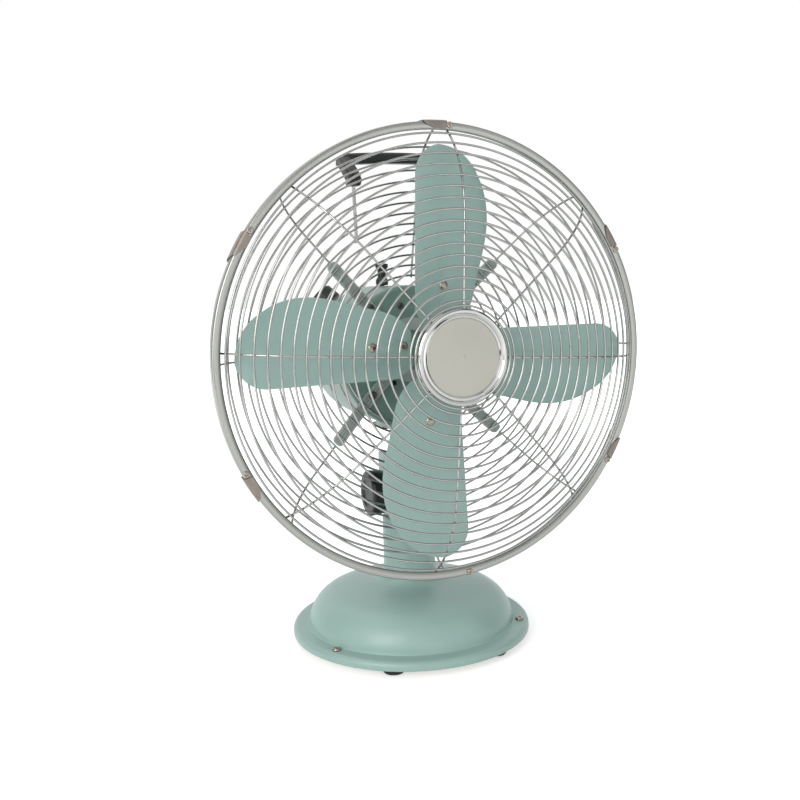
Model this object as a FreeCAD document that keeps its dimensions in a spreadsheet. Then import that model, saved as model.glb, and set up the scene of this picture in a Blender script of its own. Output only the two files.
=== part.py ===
import FreeCAD, Part
import math
import os
from types import SimpleNamespace

import Sketcher

# Twelve-inch metal desk fan: a round pressed base with a neck, a tilting bracket, and an
# oscillating head that carries the motor, a four-blade rotor and a two-piece wire guard.
# Frame: +Z up, the fan blows towards -Y, +X is on the right seen from the front.
# The origin is on the floor under the neck, which is also the axis of oscillation.

SIZES = {
    # base
    "foot_height": 5.5,
    "foot_radius": 8.0,
    "foot_circle": 85.0,
    "brim_radius": 98.4,
    "brim_top": 12.5,
    "brim_round": 4.0,
    "groove_floor": 10.3,
    "groove_outer": 86.3,
    "base_wall": 1.2,
    "dome_edge": 85.3,
    "dome_centre_height": 11.0,
    "flare_radius": 22.0,
    "flare_height": 62.0,
    "neck_radius": 21.5,
    "neck_top": 100.0,
    "plate_thickness": 1.2,
    "base_screw_circle": 90.9,
    "ballast_radius": 66.0,
    "ballast_height": 15.0,
    "ballast_hole": 22.0,
    "cord_bore": 3.4,
    "gland_radius": 6.0,
    # tilt joint
    "lug_rise": 21.0,
    "lug_radius": 12.0,
    "lug_half_width": 12.6,
    "bolt_radius": 4.0,
    "cheek_outer": 20.5,
    "cheek_radius": 13.0,
    "bracket_rise": 31.0,
    "tilt_knob_radius": 18.7,
    "tilt_knob_length": 14.6,
    # oscillation joint
    "pivot_radius": 5.0,
    "bush_wall": 2.0,
    "cradle_boss_radius": 10.5,
    "cradle_half_width": 16.0,
    "cradle_length": 42.0,
    "stud_radius": 2.5,
    "stud_offset": 18.0,
    "link_rise": 10.0,
    "link_thickness": 3.0,
    "crank_radius": 9.0,
    "gear_axis": 49.0,
    # motor
    "head_rise": 86.5,
    "housing_drop": 6.0,
    "housing_radius": 58.0,
    "housing_wall": 1.5,
    "cover_face": 17.0,
    "cover_round": 4.0,
    "cover_depth": 5.0,
    "housing_straight_end": 72.0,
    "housing_end": 118.0,
    "shoulder_radius": 38.0,
    "shaft_radius": 4.0,
    "bearing_radius": 7.0,
    "bracket_rim_radius": 50.2,
    "stator_radius": 46.0,
    "stator_bore": 30.0,
    "stator_front": 2.0,
    "stator_back": 28.0,
    "coil_length": 6.5,
    "rotor_gap": 0.5,
    "worm_radius": 4.9,
    "wheel_offset": 13.5,
    "wheel_radius": 8.2,
    "pinion_radius": 4.0,
    # rotor
    "blade_tip": 154.0,
    "blade_root": 19.0,
    "blade_straight_side": 17.8,
    "blade_round_side": 45.0,
    "blade_thickness": 1.0,
    "blade_plane": 69.0,
    "blade_cone": 0.074,
    "crease_offset": 4.4,
    "crease_lean": 0.065,
    "flange_slope": 0.07,
    "bow_slope": 0.13,
    "bow_camber": 0.002,
    "spider_arm_end": 60.0,
    "spider_arm_half": 8.0,
    "rivet_side": 6.5,
    "rivet_inner": 26.0,
    "rivet_outer": 51.0,
    # guards
    "ring_radius": 170.0,
    "ring_front": 83.3,
    "ring_depth": 11.0,
    "ring_wall": 1.2,
    "ring_lip": 5.0,
    "wire": 0.8,
    "rim_wire": 1.3,
    "ring_pitch": 8.0,
    "front_first_ring": 40.0,
    "front_face": 118.4,
    "front_slope": 0.052,
    "front_bend": 100.0,
    "rear_first_ring": 60.0,
    "rear_start": 21.8,
    "rear_slope": 0.255,
    "rear_bend": 126.0,
    "front_turn": -3.1,
    "arm_width": 9.0,
    "arm_thickness": 3.0,
    "arm_end": 98.0,
    "badge_radius": 34.0,
    "badge_disc_radius": 29.3,
    "badge_front": 121.2,
    # handle
    "handle_plane": 4.0,
    "handle_depth": 10.0,
    "handle_rise": 158.0,
    "handle_thickness": 8.5,
    "handle_half": 53.3,
    "handle_leg": 10.0,
    "handle_reach": 25.2,
    "strap_foot": 47.6,
    "strap_thickness": 1.5,
    "strap_depth": 4.0,
    # clips and controls
    "clip_width": 29.0,
    "clip_sheet": 1.0,
    "pull_knob_radius": 5.6,
    "pull_knob_height": 18.6,
    "speed_knob_radius": 12.0,
    "speed_knob_height": 14.0,
    "speed_seat_angle": 23.0,
    "speed_polar_angle": 130.0,
    # clearances
    "running_fit": 0.06,
    "loose_fit": 0.3,
    "screw_fit": 0.1,
}

# radial gap between a pressed or seated part and its bore
PRESS_FIT = 0.02

doc = FreeCAD.newDocument("desk_fan")
sheet = doc.addObject("Spreadsheet::Sheet", "Sizes")
for row, (size_name, number) in enumerate(SIZES.items(), start=1):
    sheet.set(f"A{row}", size_name)
    sheet.set(f"B{row}", str(number))
    sheet.setAlias(f"B{row}", size_name)
doc.recompute()


class Size:
    """A length with its number and the sheet expression that it comes from."""

    def __init__(self, value, text):
        self.value = float(value)
        self.text = text

    def __float__(self):
        return self.value

    def __add__(self, other):
        other = as_size(other)
        return Size(self.value + other.value, f"({self.text} + {other.text})")

    def __sub__(self, other):
        other = as_size(other)
        return Size(self.value - other.value, f"({self.text} - {other.text})")

    def __mul__(self, other):
        other = as_size(other)
        return Size(self.value * other.value, f"({self.text} * {other.text})")

    def __truediv__(self, other):
        other = as_size(other)
        return Size(self.value / other.value, f"({self.text} / {other.text})")

    def __neg__(self):
        return Size(-self.value, f"(0 - {self.text})")

    def __radd__(self, other):
        return as_size(other) + self

    def __rsub__(self, other):
        return as_size(other) - self

    def __rmul__(self, other):
        return as_size(other) * self


def as_size(number):
    if isinstance(number, Size):
        return number
    return Size(number, f"({float(number):.6f})")


def root(size):
    return Size(math.sqrt(size.value), f"sqrt({size.text})")


def cosine(angle):
    angle = as_size(angle)
    return Size(math.cos(math.radians(angle.value)), f"cos({angle.text} * 1 deg)")


def sine(angle):
    angle = as_size(angle)
    return Size(math.sin(math.radians(angle.value)), f"sin({angle.text} * 1 deg)")


S = SimpleNamespace(**{name: Size(value, f"Sizes.{name}") for name, value in SIZES.items()})
# heights stand on one another, from the neck up to the handle
tilt_height = S.neck_top + S.lug_rise
bracket_top = tilt_height + S.bracket_rise
link_height = bracket_top + S.link_rise
axis_height = bracket_top + S.head_rise
handle_top = axis_height + S.handle_rise
ZERO = as_size(0)
X_AXIS = FreeCAD.Vector(1, 0, 0)
Y_AXIS = FreeCAD.Vector(0, 1, 0)
Z_AXIS = FreeCAD.Vector(0, 0, 1)
nodes = []


def vector(x, y, z):
    return FreeCAD.Vector(float(x), float(y), float(z))


def bind(thing, **expressions):
    for prop, size in expressions.items():
        thing.setExpression(prop, as_size(size).text)
    return thing


def place(thing, at=(0, 0, 0), turn=None):
    """Put an object at a point given in sizes, turned by a fixed rotation."""
    rotation = turn or FreeCAD.Rotation()
    thing.Placement = FreeCAD.Placement(vector(*at), rotation)
    for letter, size in zip("xyz", at):
        if isinstance(size, Size):
            thing.setExpression(f".Placement.Base.{letter}", size.text)
    return thing


def towards(direction):
    return FreeCAD.Rotation(Z_AXIS, direction)


def about_y(angle):
    return FreeCAD.Rotation(Y_AXIS, -angle)


def node(thing, name):
    """Name a finished sub-part: its label is the name of its file."""
    thing.Label = name
    nodes.append(thing)
    return thing


def rod(radius, length, at=(0, 0, 0), direction=Z_AXIS):
    cylinder = doc.addObject("Part::Cylinder", "rod")
    bind(cylinder, Radius=radius, Height=length)
    return place(cylinder, at, towards(direction))


def cone(radius_1, radius_2, length, at=(0, 0, 0), direction=Z_AXIS):
    frustum = doc.addObject("Part::Cone", "cone")
    bind(frustum, Radius1=radius_1, Radius2=radius_2, Height=length)
    return place(frustum, at, towards(direction))


def block(low, high):
    """A box between two corners given in sizes."""
    box = doc.addObject("Part::Box", "block")
    spans = [as_size(b) - a for a, b in zip(low, high)]
    bind(box, Length=spans[0], Width=spans[1], Height=spans[2])
    return place(box, [as_size(a) for a in low])


def fuse(things):
    joined = doc.addObject("Part::MultiFuse", "joined")
    joined.Shapes = things
    return joined


def cut(base, tools):
    hollow = doc.addObject("Part::Cut", "cut")
    hollow.Base = base
    hollow.Tool = tools[0] if len(tools) == 1 else fuse(tools)
    return hollow


def group(things):
    """Several loose solids of one kind that share a node."""
    together = doc.addObject("Part::Compound", "group")
    together.Links = things
    return together


def solid_of(shape):
    """A sub-part whose surfaces are worked out point by point."""
    feature = doc.addObject("Part::Feature", "shaped")
    feature.Shape = shape
    return feature


def origin_plane(body, role):
    return next(item for item in body.Origin.OriginFeatures if item.Role == role)


def outline_sketch(body, role, profile):
    """A closed outline. Each corner is (across, along), followed for an arc by its radius and
    by +1 where the arc's centre is on the left of the way, or -1 where it is on the right."""
    sketch = body.newObject("Sketcher::SketchObject", "outline")
    sketch.AttachmentSupport = (origin_plane(body, role), [""])
    sketch.MapMode = "FlatFace"
    corners = [(as_size(c[0]), as_size(c[1])) for c in profile]
    ends = []
    for index, corner in enumerate(profile):
        start = vector(*corners[index], 0)
        stop = vector(*corners[(index + 1) % len(corners)], 0)
        if len(corner) == 2:
            ends.append((sketch.addGeometry(Part.LineSegment(start, stop)), 1, 2))
            continue
        radius, side = as_size(corner[2]), corner[3]
        chord = stop - start
        left = FreeCAD.Vector(-chord.y, chord.x, 0).normalize()
        rise = math.sqrt(max(radius.value**2 - chord.Length**2 / 4, 0))
        centre = (start + stop) * 0.5 + left * (side * rise)
        first, last = (start, stop) if side > 0 else (stop, start)
        angles = [math.atan2(p.y - centre.y, p.x - centre.x) for p in (first, last)]
        if angles[1] < angles[0]:
            angles[1] += 2 * math.pi
        circle = Part.Circle(centre, Z_AXIS, radius.value)
        geo = sketch.addGeometry(Part.ArcOfCircle(circle, angles[0], angles[1]))
        ends.append((geo, 1, 2) if side > 0 else (geo, 2, 1))
        bound = sketch.addConstraint(Sketcher.Constraint("Radius", geo, radius.value))
        sketch.setExpression(f"Constraints[{bound}]", radius.text)
    for index, (geo, tail, head) in enumerate(ends):
        following = ends[(index + 1) % len(ends)]
        sketch.addConstraint(Sketcher.Constraint("Coincident", geo, head, following[0], following[1]))
        for kind, axis, size in zip(("DistanceX", "DistanceY"), (-2, -1), corners[index]):
            if size.text == ZERO.text:
                sketch.addConstraint(Sketcher.Constraint("PointOnObject", geo, tail, axis))
                continue
            bound = sketch.addConstraint(Sketcher.Constraint(kind, geo, tail, size.value))
            sketch.setExpression(f"Constraints[{bound}]", size.text)
    return sketch


def turned(profile, at=(0, 0, 0), about="Z", turn=None):
    """A body turned about Z or Y from a half section of (radius, height along the axis)."""
    body = doc.addObject("PartDesign::Body", "turned")
    sketch = outline_sketch(body, "XZ_Plane" if about == "Z" else "XY_Plane", profile)
    revolution = body.newObject("PartDesign::Revolution", "turn")
    revolution.Profile = sketch
    revolution.ReferenceAxis = (sketch, ["V_Axis"])
    revolution.Angle = 360
    sketch.Visibility = False
    body.Tip = revolution
    return place(body, at, turn)


def flat_plate(profile, role, thickness, at=(0, 0, 0), turn=None, bevelled=None):
    """A body padded evenly to both sides of a plane from an outline, with bevelled edges."""
    body = doc.addObject("PartDesign::Body", "plate")
    sketch = outline_sketch(body, role, profile)
    pad = body.newObject("PartDesign::Pad", "pad")
    pad.Profile = sketch
    pad.Midplane = True
    bind(pad, Length=thickness)
    body.Tip = pad
    if bevelled is not None:
        doc.recompute()
        half = float(thickness) / 2
        bevel = body.newObject("PartDesign::Chamfer", "bevel")
        names = []
        for number, edge in enumerate(pad.Shape.Edges, start=1):
            middle = edge.valueAt((edge.FirstParameter + edge.LastParameter) / 2)
            off_plane = {"XY_Plane": middle.z, "XZ_Plane": middle.y, "YZ_Plane": middle.x}[role]
            if abs(abs(off_plane) - half) < 1e-4:
                names.append(f"Edge{number}")
        bevel.Base = (pad, names)
        bind(bevel, Size=bevelled)
        body.Tip = bevel
    return place(body, at, turn)


def screw(head_radius, head_height, shank_radius, length, at, direction):
    """A pan-head screw: the head's seat is at the given point, the shank runs against it."""
    seat = fuse([
        rod(shank_radius, length, (0, 0, -as_size(length))),
        rod(head_radius, as_size(head_height) * 0.5),
        cone(head_radius, as_size(head_radius) * 0.62, as_size(head_height) * 0.5,
             (0, 0, as_size(head_height) * 0.5)),
    ])
    return place(seat, at, towards(direction))


def polar(radius, angle):
    """The across and up distances of a point on a circle, in sizes."""
    return as_size(radius) * cosine(angle), as_size(radius) * sine(angle)


# ---------------------------------------------------------------- base
FEET_ANGLES = [0, 60, 120, 180, 240, 300]
BASE_SCREW_ANGLES = [-30, 90, 210]
GLAND_ANGLE = 65
GLAND_TILT = 18.0
BASE_SCREW_SHANK = 1.7
FOOT_STEM = 2.5
LUG_FLANGE = 4.0
LUG_FLANGE_RADIUS = 19.5
LUG_BOLT_OFFSET = 15.0
LUG_BOLT_SHANK = 2.0

flare_centre = S.neck_radius + S.flare_radius
edge_gap = flare_centre - S.dome_edge
dome_rise = S.flare_height - S.dome_centre_height
dome_radius = ((edge_gap * edge_gap + dome_rise * dome_rise - S.flare_radius * S.flare_radius)
               / ((S.flare_radius - edge_gap) * 2))
dome_centre = S.dome_edge - dome_radius


def base_outline(inset):
    """The pressed base in half section, from the neck's top out to the brim's lower edge."""
    inset = as_size(inset)
    share = (S.flare_radius + inset) / (S.flare_radius + dome_radius)
    meet_r = flare_centre + (dome_centre - flare_centre) * share
    meet_z = S.flare_height - dome_rise * share
    ball = dome_radius - inset
    floor = S.groove_floor - inset
    depth = floor - S.dome_centre_height
    dome_foot = dome_centre + root(ball * ball - depth * depth)
    top = S.brim_top - inset
    step = S.groove_outer + inset * 0.4
    corner = S.brim_radius - S.brim_round
    return [
        (0, S.neck_top - inset),
        (S.neck_radius - inset, S.neck_top - inset),
        (S.neck_radius - inset, S.flare_height, S.flare_radius + inset, 1),
        (meet_r, meet_z, ball, -1),
        (dome_foot, floor),
        (step, floor),
        (step + 1.0, top),
        (corner, top, S.brim_round - inset, -1),
        (S.brim_radius - inset, S.brim_top - S.brim_round),
        (S.brim_radius - inset, S.foot_height),
        (0, S.foot_height),
    ]


def gland_frame():
    """The centre and the outward direction of the cord inlet on the dome."""
    tilt = math.radians(GLAND_TILT)
    reach = dome_centre + dome_radius * cosine(GLAND_TILT)
    across, along = polar(reach, GLAND_ANGLE)
    up = S.dome_centre_height + dome_radius * sine(GLAND_TILT)
    flat = math.radians(GLAND_ANGLE)
    out = FreeCAD.Vector(math.cos(tilt) * math.cos(flat), math.cos(tilt) * math.sin(flat), math.sin(tilt))
    return (across, along, up), out


def along_direction(point, direction, distance):
    """A point moved by a size along a fixed direction."""
    return tuple(as_size(p) + as_size(distance) * d for p, d in zip(point, direction))


plate_top = S.foot_height + S.plate_thickness
screw_points = [polar(S.base_screw_circle, angle) for angle in BASE_SCREW_ANGLES]
foot_points = [polar(S.foot_circle, angle) for angle in FEET_ANGLES]
gland_at, gland_out = gland_frame()


def make_base_shell():
    outer = turned(base_outline(0))
    inner = turned(base_outline(S.base_wall))
    hole = BASE_SCREW_SHANK + S.screw_fit
    tools = [inner]
    tools += [rod(hole, S.brim_top, (x, y, 0)) for x, y in screw_points]
    tools.append(rod(S.gland_radius + S.screw_fit, 20, along_direction(gland_at, gland_out, -10), gland_out))
    for side in (-1, 1):
        tools.append(rod(LUG_BOLT_SHANK + S.screw_fit, 10, (0, side * LUG_BOLT_OFFSET, S.neck_top - 5)))
    tools.append(rod(5, 10, (0, 0, S.neck_top - 5)))
    node(cut(outer, tools), "base_shell")


def make_base_plate():
    disc = rod(S.brim_radius - S.base_wall - S.loose_fit, S.plate_thickness, (0, 0, S.foot_height))
    pillar_height = S.brim_top - S.base_wall - plate_top
    pillars = [rod(3.2, pillar_height, (x, y, plate_top)) for x, y in screw_points]
    holes = [rod(BASE_SCREW_SHANK + S.screw_fit, S.brim_top, (x, y, 0)) for x, y in screw_points]
    holes += [rod(FOOT_STEM + S.screw_fit, S.brim_top, (x, y, 0)) for x, y in foot_points]
    node(cut(fuse([disc] + pillars), holes), "base_plate")


def make_ballast():
    ring = rod(S.ballast_radius, S.ballast_height, (0, 0, plate_top))
    bore = rod(S.ballast_hole, S.ballast_height + 2, (0, 0, plate_top - 1))
    node(cut(ring, [bore]), "ballast_weight")


def make_feet():
    feet = []
    for x, y in foot_points:
        pad = rod(S.foot_radius, S.foot_height - 1.2, (x, y, 1.2))
        sole = cone(S.foot_radius - 1.2, S.foot_radius, 1.2, (x, y, 0))
        stem = rod(FOOT_STEM, S.plate_thickness + 1.6, (x, y, S.foot_height))
        barb = rod(FOOT_STEM + 1, 1.5, (x, y, plate_top + 0.1))
        feet.append(fuse([pad, sole, stem, barb]))
    node(group(feet), "rubber_feet")


def make_base_screws():
    screws = [screw(3.4, 2.2, BASE_SCREW_SHANK, 6.8, (x, y, S.brim_top), Z_AXIS) for x, y in screw_points]
    node(group(screws), "base_screws")


def make_cord_gland():
    inner_end = along_direction(gland_at, gland_out, -(S.base_wall + 2.4))
    bush = fuse([
        rod(S.gland_radius, S.base_wall + 3.4, inner_end, gland_out),
        rod(S.gland_radius + 2.2, 2.4, along_direction(gland_at, gland_out, 0.15), gland_out),
        rod(S.gland_radius + 1.6, 1.6, inner_end, gland_out),
    ])
    bore = rod(S.cord_bore, 20, along_direction(gland_at, gland_out, -10), gland_out)
    node(cut(bush, [bore]), "cord_gland")


def make_terminal_block():
    body = block((-10, -6, plate_top), (10, 6, plate_top + 10))
    wells = [rod(2, 6, (x, 0, plate_top + 5)) for x in (-6, 0, 6)]
    node(cut(body, wells), "terminal_block")


def make_neck_lug():
    flange = rod(LUG_FLANGE_RADIUS, LUG_FLANGE, (0, 0, S.neck_top))
    blade = block((-S.lug_half_width, -S.lug_radius, S.neck_top),
                  (S.lug_half_width, S.lug_radius, tilt_height))
    eye = rod(S.lug_radius, S.lug_half_width * 2, (-S.lug_half_width, 0, tilt_height), X_AXIS)
    tools = [rod(S.bolt_radius + S.running_fit, 60, (-30, 0, tilt_height), X_AXIS)]
    for side in (-1, 1):
        tools.append(rod(LUG_BOLT_SHANK + S.screw_fit, LUG_FLANGE - 0.4,
                         (0, side * LUG_BOLT_OFFSET, S.neck_top)))
    tools.append(rod(5, 8, (0, 0, S.neck_top - 1)))
    node(cut(fuse([flange, blade, eye]), tools), "neck_lug")


def make_lug_bolts():
    seat = S.neck_top - S.base_wall
    reach = S.base_wall + LUG_FLANGE - 0.8
    bolts = [screw(3.5, 3.5, LUG_BOLT_SHANK, reach, (0, side * LUG_BOLT_OFFSET, seat), -Z_AXIS)
             for side in (-1, 1)]
    node(group(bolts), "lug_bolts")


# ---------------------------------------------------------------- tilt bracket
SLOT_GAP = 0.5
BOLT_HEAD = 3.2
WASHER = 0.8
KNOB_FLUTES = 14
slot_half = S.lug_half_width + SLOT_GAP
knob_face = S.cheek_outer + WASHER + 0.1


def make_tilt_bracket():
    body = fuse([
        block((-S.cheek_outer, -S.cheek_radius, tilt_height),
              (S.cheek_outer, S.cheek_radius, bracket_top)),
        rod(S.cheek_radius, S.cheek_outer * 2, (-S.cheek_outer, 0, tilt_height), X_AXIS),
    ])
    slot_top = tilt_height + S.lug_radius + 4
    tools = [
        block((-slot_half, -30, tilt_height - 30), (slot_half, 30, slot_top)),
        rod(S.bolt_radius + PRESS_FIT, 60, (-30, 0, tilt_height), X_AXIS),
        rod(S.pivot_radius - 1 + PRESS_FIT, S.bracket_rise, (0, 0, slot_top - 1)),
        rod(S.stud_radius - 0.5 + PRESS_FIT, 8, (S.stud_offset, 0, bracket_top - 6)),
    ]
    node(cut(body, tools), "tilt_bracket")


def make_tilt_bolt():
    past_knob = 12
    shank = rod(S.bolt_radius, S.cheek_outer * 2 + WASHER * 2 + past_knob,
                (-(S.cheek_outer + WASHER + past_knob), 0, tilt_height), X_AXIS)
    head = rod(7.0, BOLT_HEAD, (S.cheek_outer + WASHER, 0, tilt_height), X_AXIS)
    node(fuse([shank, head]), "tilt_bolt")


def make_tilt_washers():
    washers = []
    for start in (-(S.cheek_outer + WASHER), S.cheek_outer):
        disc = rod(9.0, WASHER, (start, 0, tilt_height), X_AXIS)
        washers.append(cut(disc, [rod(S.bolt_radius + PRESS_FIT, 60, (-30, 0, tilt_height), X_AXIS)]))
    node(group(washers), "tilt_washers")


def make_tilt_knob():
    rim = S.tilt_knob_radius
    length = S.tilt_knob_length
    bore = S.bolt_radius + S.running_fit
    section = [
        (bore, 0),
        (rim - 4, 0),
        (rim - 1.2, 1.5),
        (rim, length - 3.2, 3.0, 1),
        (rim - 3.0, length - 0.2),
        (rim - 7, length),
        (rim - 9, length - 1.2),
        (0, length - 1.2),
        (0, length - 2.4),
        (bore, length - 2.4),
    ]
    head = turned(section)
    flutes = []
    for step in range(KNOB_FLUTES):
        x, y = polar(rim + 0.9, 360.0 * step / KNOB_FLUTES)
        flutes.append(rod(1.9, length + 4, (x, y, -2)))
    knob = cut(head, flutes)
    node(place(knob, (-knob_face, 0, tilt_height), towards(-X_AXIS)), "tilt_knob")


def make_pivot_pin():
    stem = rod(S.pivot_radius - 1, 14, (0, 0, bracket_top - 14))
    pin = rod(S.pivot_radius, pin_top - bracket_top, (0, 0, bracket_top))
    groove = cut(rod(S.pivot_radius + 2, 1.0, (0, 0, clip_low)),
                 [rod(S.pivot_radius - 0.8, 3, (0, 0, clip_low - 1))])
    node(cut(fuse([stem, pin]), [groove]), "pivot_pin")


def make_link_stud():
    top = link_height + S.link_thickness + 0.3
    pin = fuse([
        rod(S.stud_radius - 0.5, 5.5, (S.stud_offset, 0, bracket_top - 5.5)),
        rod(S.stud_radius + 1.2, link_height - 0.3 - bracket_top, (S.stud_offset, 0, bracket_top)),
        rod(S.stud_radius, top - bracket_top, (S.stud_offset, 0, bracket_top)),
        rod(S.stud_radius + 1.2, 1.2, (S.stud_offset, 0, top)),
    ])
    node(pin, "link_stud")


# ---------------------------------------------------------------- head carrier and motor
housing_height = axis_height - S.housing_drop
housing_bottom = housing_height - S.housing_radius
saddle_radius = S.housing_radius + 3.5
pin_top = housing_bottom - 1.6
clip_low = housing_bottom - 3.6
COVER_SCREW_CIRCLE = 36.5
COVER_SCREW_ANGLES = [13, 103, 193, 283]
ARM_ANGLES = [45, 135, 225, 315]
ARM_SCREW_CIRCLE = 49.0
BRACKET_WEB = 2.5
CRADLE_SCREWS = [(-11.0, 20.0), (11.0, 20.0)]
cover_back = S.cover_face - S.cover_depth
rear_web_front = S.stator_back + S.coil_length + 1.5
rear_web_back = rear_web_front + BRACKET_WEB
front_web_back = S.stator_front + S.coil_length + 1.0


def make_motor_cradle():
    width = S.cradle_half_width
    slab = block((-width, -S.cradle_boss_radius - 1, housing_bottom - 10),
                 (width, S.cradle_length - 12, housing_bottom + 12))
    saddle = doc.addObject("Part::Common", "saddle")
    saddle.Base = slab
    saddle.Tool = rod(saddle_radius, 120, (0, -40, housing_height), Y_AXIS)
    boss = rod(S.cradle_boss_radius, housing_bottom - bracket_top + 2, (0, 0, bracket_top + S.loose_fit))
    tools = [
        rod(S.housing_radius + 0.05, 160, (0, -60, housing_height), Y_AXIS),
        rod(S.pivot_radius + S.bush_wall + PRESS_FIT, housing_bottom - bracket_top + 15,
            (0, 0, bracket_top - 5)),
    ]
    tools += [rod(1.5 + S.screw_fit, 20, (x, y, housing_bottom - 12)) for x, y in CRADLE_SCREWS]
    node(cut(fuse([saddle, boss]), tools), "motor_cradle")


def make_pivot_bush():
    low = bracket_top + S.loose_fit
    tube = rod(S.pivot_radius + S.bush_wall, clip_low - 0.3 - low, (0, 0, low))
    bore = rod(S.pivot_radius + S.running_fit, 60, (0, 0, low - 10))
    node(cut(tube, [bore]), "pivot_bush")


def make_pivot_clip():
    ring = rod(S.pivot_radius + 1.6, 0.9, (0, 0, clip_low + 0.05))
    bore = rod(S.pivot_radius - 0.75, 3, (0, 0, clip_low - 1))
    node(cut(ring, [bore]), "pivot_clip")


crown = S.housing_end - S.housing_straight_end
shoulder_centre = S.housing_radius - S.shoulder_radius
crown_radius = ((shoulder_centre * shoulder_centre + crown * crown - S.shoulder_radius * S.shoulder_radius)
                / ((crown - S.shoulder_radius) * 2))
crown_centre = S.housing_end - crown_radius


def housing_outline(inset):
    """The motor housing in half section: a straight drum that ends in a rounded crown."""
    inset = as_size(inset)
    share = (crown_radius - inset) / (crown_radius - S.shoulder_radius)
    meet_r = shoulder_centre * share
    meet_y = crown_centre + (S.housing_straight_end - crown_centre) * share
    return [
        (0, -cover_back),
        (S.housing_radius - inset, -cover_back),
        (S.housing_radius - inset, S.housing_straight_end, S.shoulder_radius - inset, 1),
        (meet_r, meet_y, crown_radius - inset, 1),
        (0, S.housing_end - inset),
    ]


def speed_frame():
    """The seat of the speed knob on the housing's shoulder, and its outward direction."""
    polar_angle = S.speed_polar_angle
    reach = shoulder_centre + S.shoulder_radius * cosine(S.speed_seat_angle)
    back = S.housing_straight_end + S.shoulder_radius * sine(S.speed_seat_angle)
    seat = (reach * cosine(polar_angle), back, housing_height + reach * sine(polar_angle))
    turn = math.radians(float(polar_angle))
    lean = math.radians(float(S.speed_seat_angle))
    out = FreeCAD.Vector(math.cos(lean) * math.cos(turn), math.sin(lean), math.cos(lean) * math.sin(turn))
    return seat, out


speed_at, speed_out = speed_frame()


def make_rear_housing():
    outer = turned(housing_outline(0), (0, 0, housing_height), "Y")
    inner = turned(housing_outline(S.housing_wall), (0, 0, housing_height), "Y")
    tools = [
        inner,
        rod(2.3, 20, (0, S.gear_axis, housing_height + S.housing_radius - 10)),
        rod(4.0, 20, (0, S.gear_axis, housing_bottom - 10)),
        rod(3.6, 20, along_direction(speed_at, speed_out, -10), speed_out),
    ]
    tools += [rod(1.5 + S.screw_fit, 20, (x, y, housing_bottom - 8)) for x, y in CRADLE_SCREWS]
    node(cut(outer, tools), "rear_housing")


def make_front_cover():
    edge = S.housing_radius
    inner_edge = edge - S.housing_wall
    back = -cover_back
    face = -S.cover_face
    section = [
        (0, face),
        (edge - S.cover_round, face, S.cover_round, 1),
        (edge, face + S.cover_round),
        (edge, back),
        (inner_edge, back),
        (inner_edge, face + S.cover_round, S.cover_round - S.housing_wall, -1),
        (edge - S.cover_round, face + S.housing_wall),
        (0, face + S.housing_wall),
    ]
    cap = turned(section, (0, 0, housing_height), "Y")
    tools = [rod(8.0, 20, (0, -S.cover_face - 10, axis_height), Y_AXIS)]
    spots = [(COVER_SCREW_CIRCLE, angle, 1.5 + S.screw_fit) for angle in COVER_SCREW_ANGLES]
    spots += [(ARM_SCREW_CIRCLE, angle, 1.8 + S.screw_fit) for angle in ARM_ANGLES]
    spots.append((30.3, 240, 2.2))
    for radius, angle, hole in spots:
        x, z = polar(radius, angle)
        tools.append(rod(hole, 10, (x, -S.cover_face - 5, axis_height + z), Y_AXIS))
    node(cut(cap, tools), "front_cover")


def make_housing_screws():
    """Equal screws: four hold the front cover, two hold the housing on its cradle."""
    screws = []
    for angle in COVER_SCREW_ANGLES:
        x, z = polar(COVER_SCREW_CIRCLE, angle)
        screws.append(screw(2.8, 2.0, 1.5, 7.0, (x, -S.cover_face, axis_height + z), -Y_AXIS))
    for x, y in CRADLE_SCREWS:
        reach = saddle_radius * saddle_radius - (abs(x) - 3.0) * (abs(x) - 3.0)
        seat = housing_height - root(reach)
        screws.append(screw(2.8, 2.0, 1.5, 7.0, (x, y, seat), -Z_AXIS))
    node(group(screws), "housing_screws")


def make_stator():
    length = S.stator_back + S.stator_front
    core = rod(S.stator_radius, length, (0, -S.stator_front, axis_height), Y_AXIS)
    tools = [rod(S.stator_bore, length + 2, (0, -S.stator_front - 1, axis_height), Y_AXIS)]
    for step in range(12):
        x, z = polar(S.stator_bore + 3.5, 30 * step)
        tools.append(rod(2.6, length + 2, (x, -S.stator_front - 1, axis_height + z), Y_AXIS))
    node(cut(core, tools), "stator_core")
    coils = []
    for start in (-(S.stator_front + S.coil_length), S.stator_back):
        section = [
            (S.stator_bore + 2, 0),
            (S.stator_radius - 2.5, 0),
            (S.stator_radius - 1, S.coil_length * 0.5),
            (S.stator_radius - 2.5, S.coil_length),
            (S.stator_bore + 2, S.coil_length),
            (S.stator_bore + 1, S.coil_length * 0.5),
        ]
        coils.append(turned(section, (0, start, axis_height), "Y"))
    node(group(coils), "stator_coils")


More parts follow.
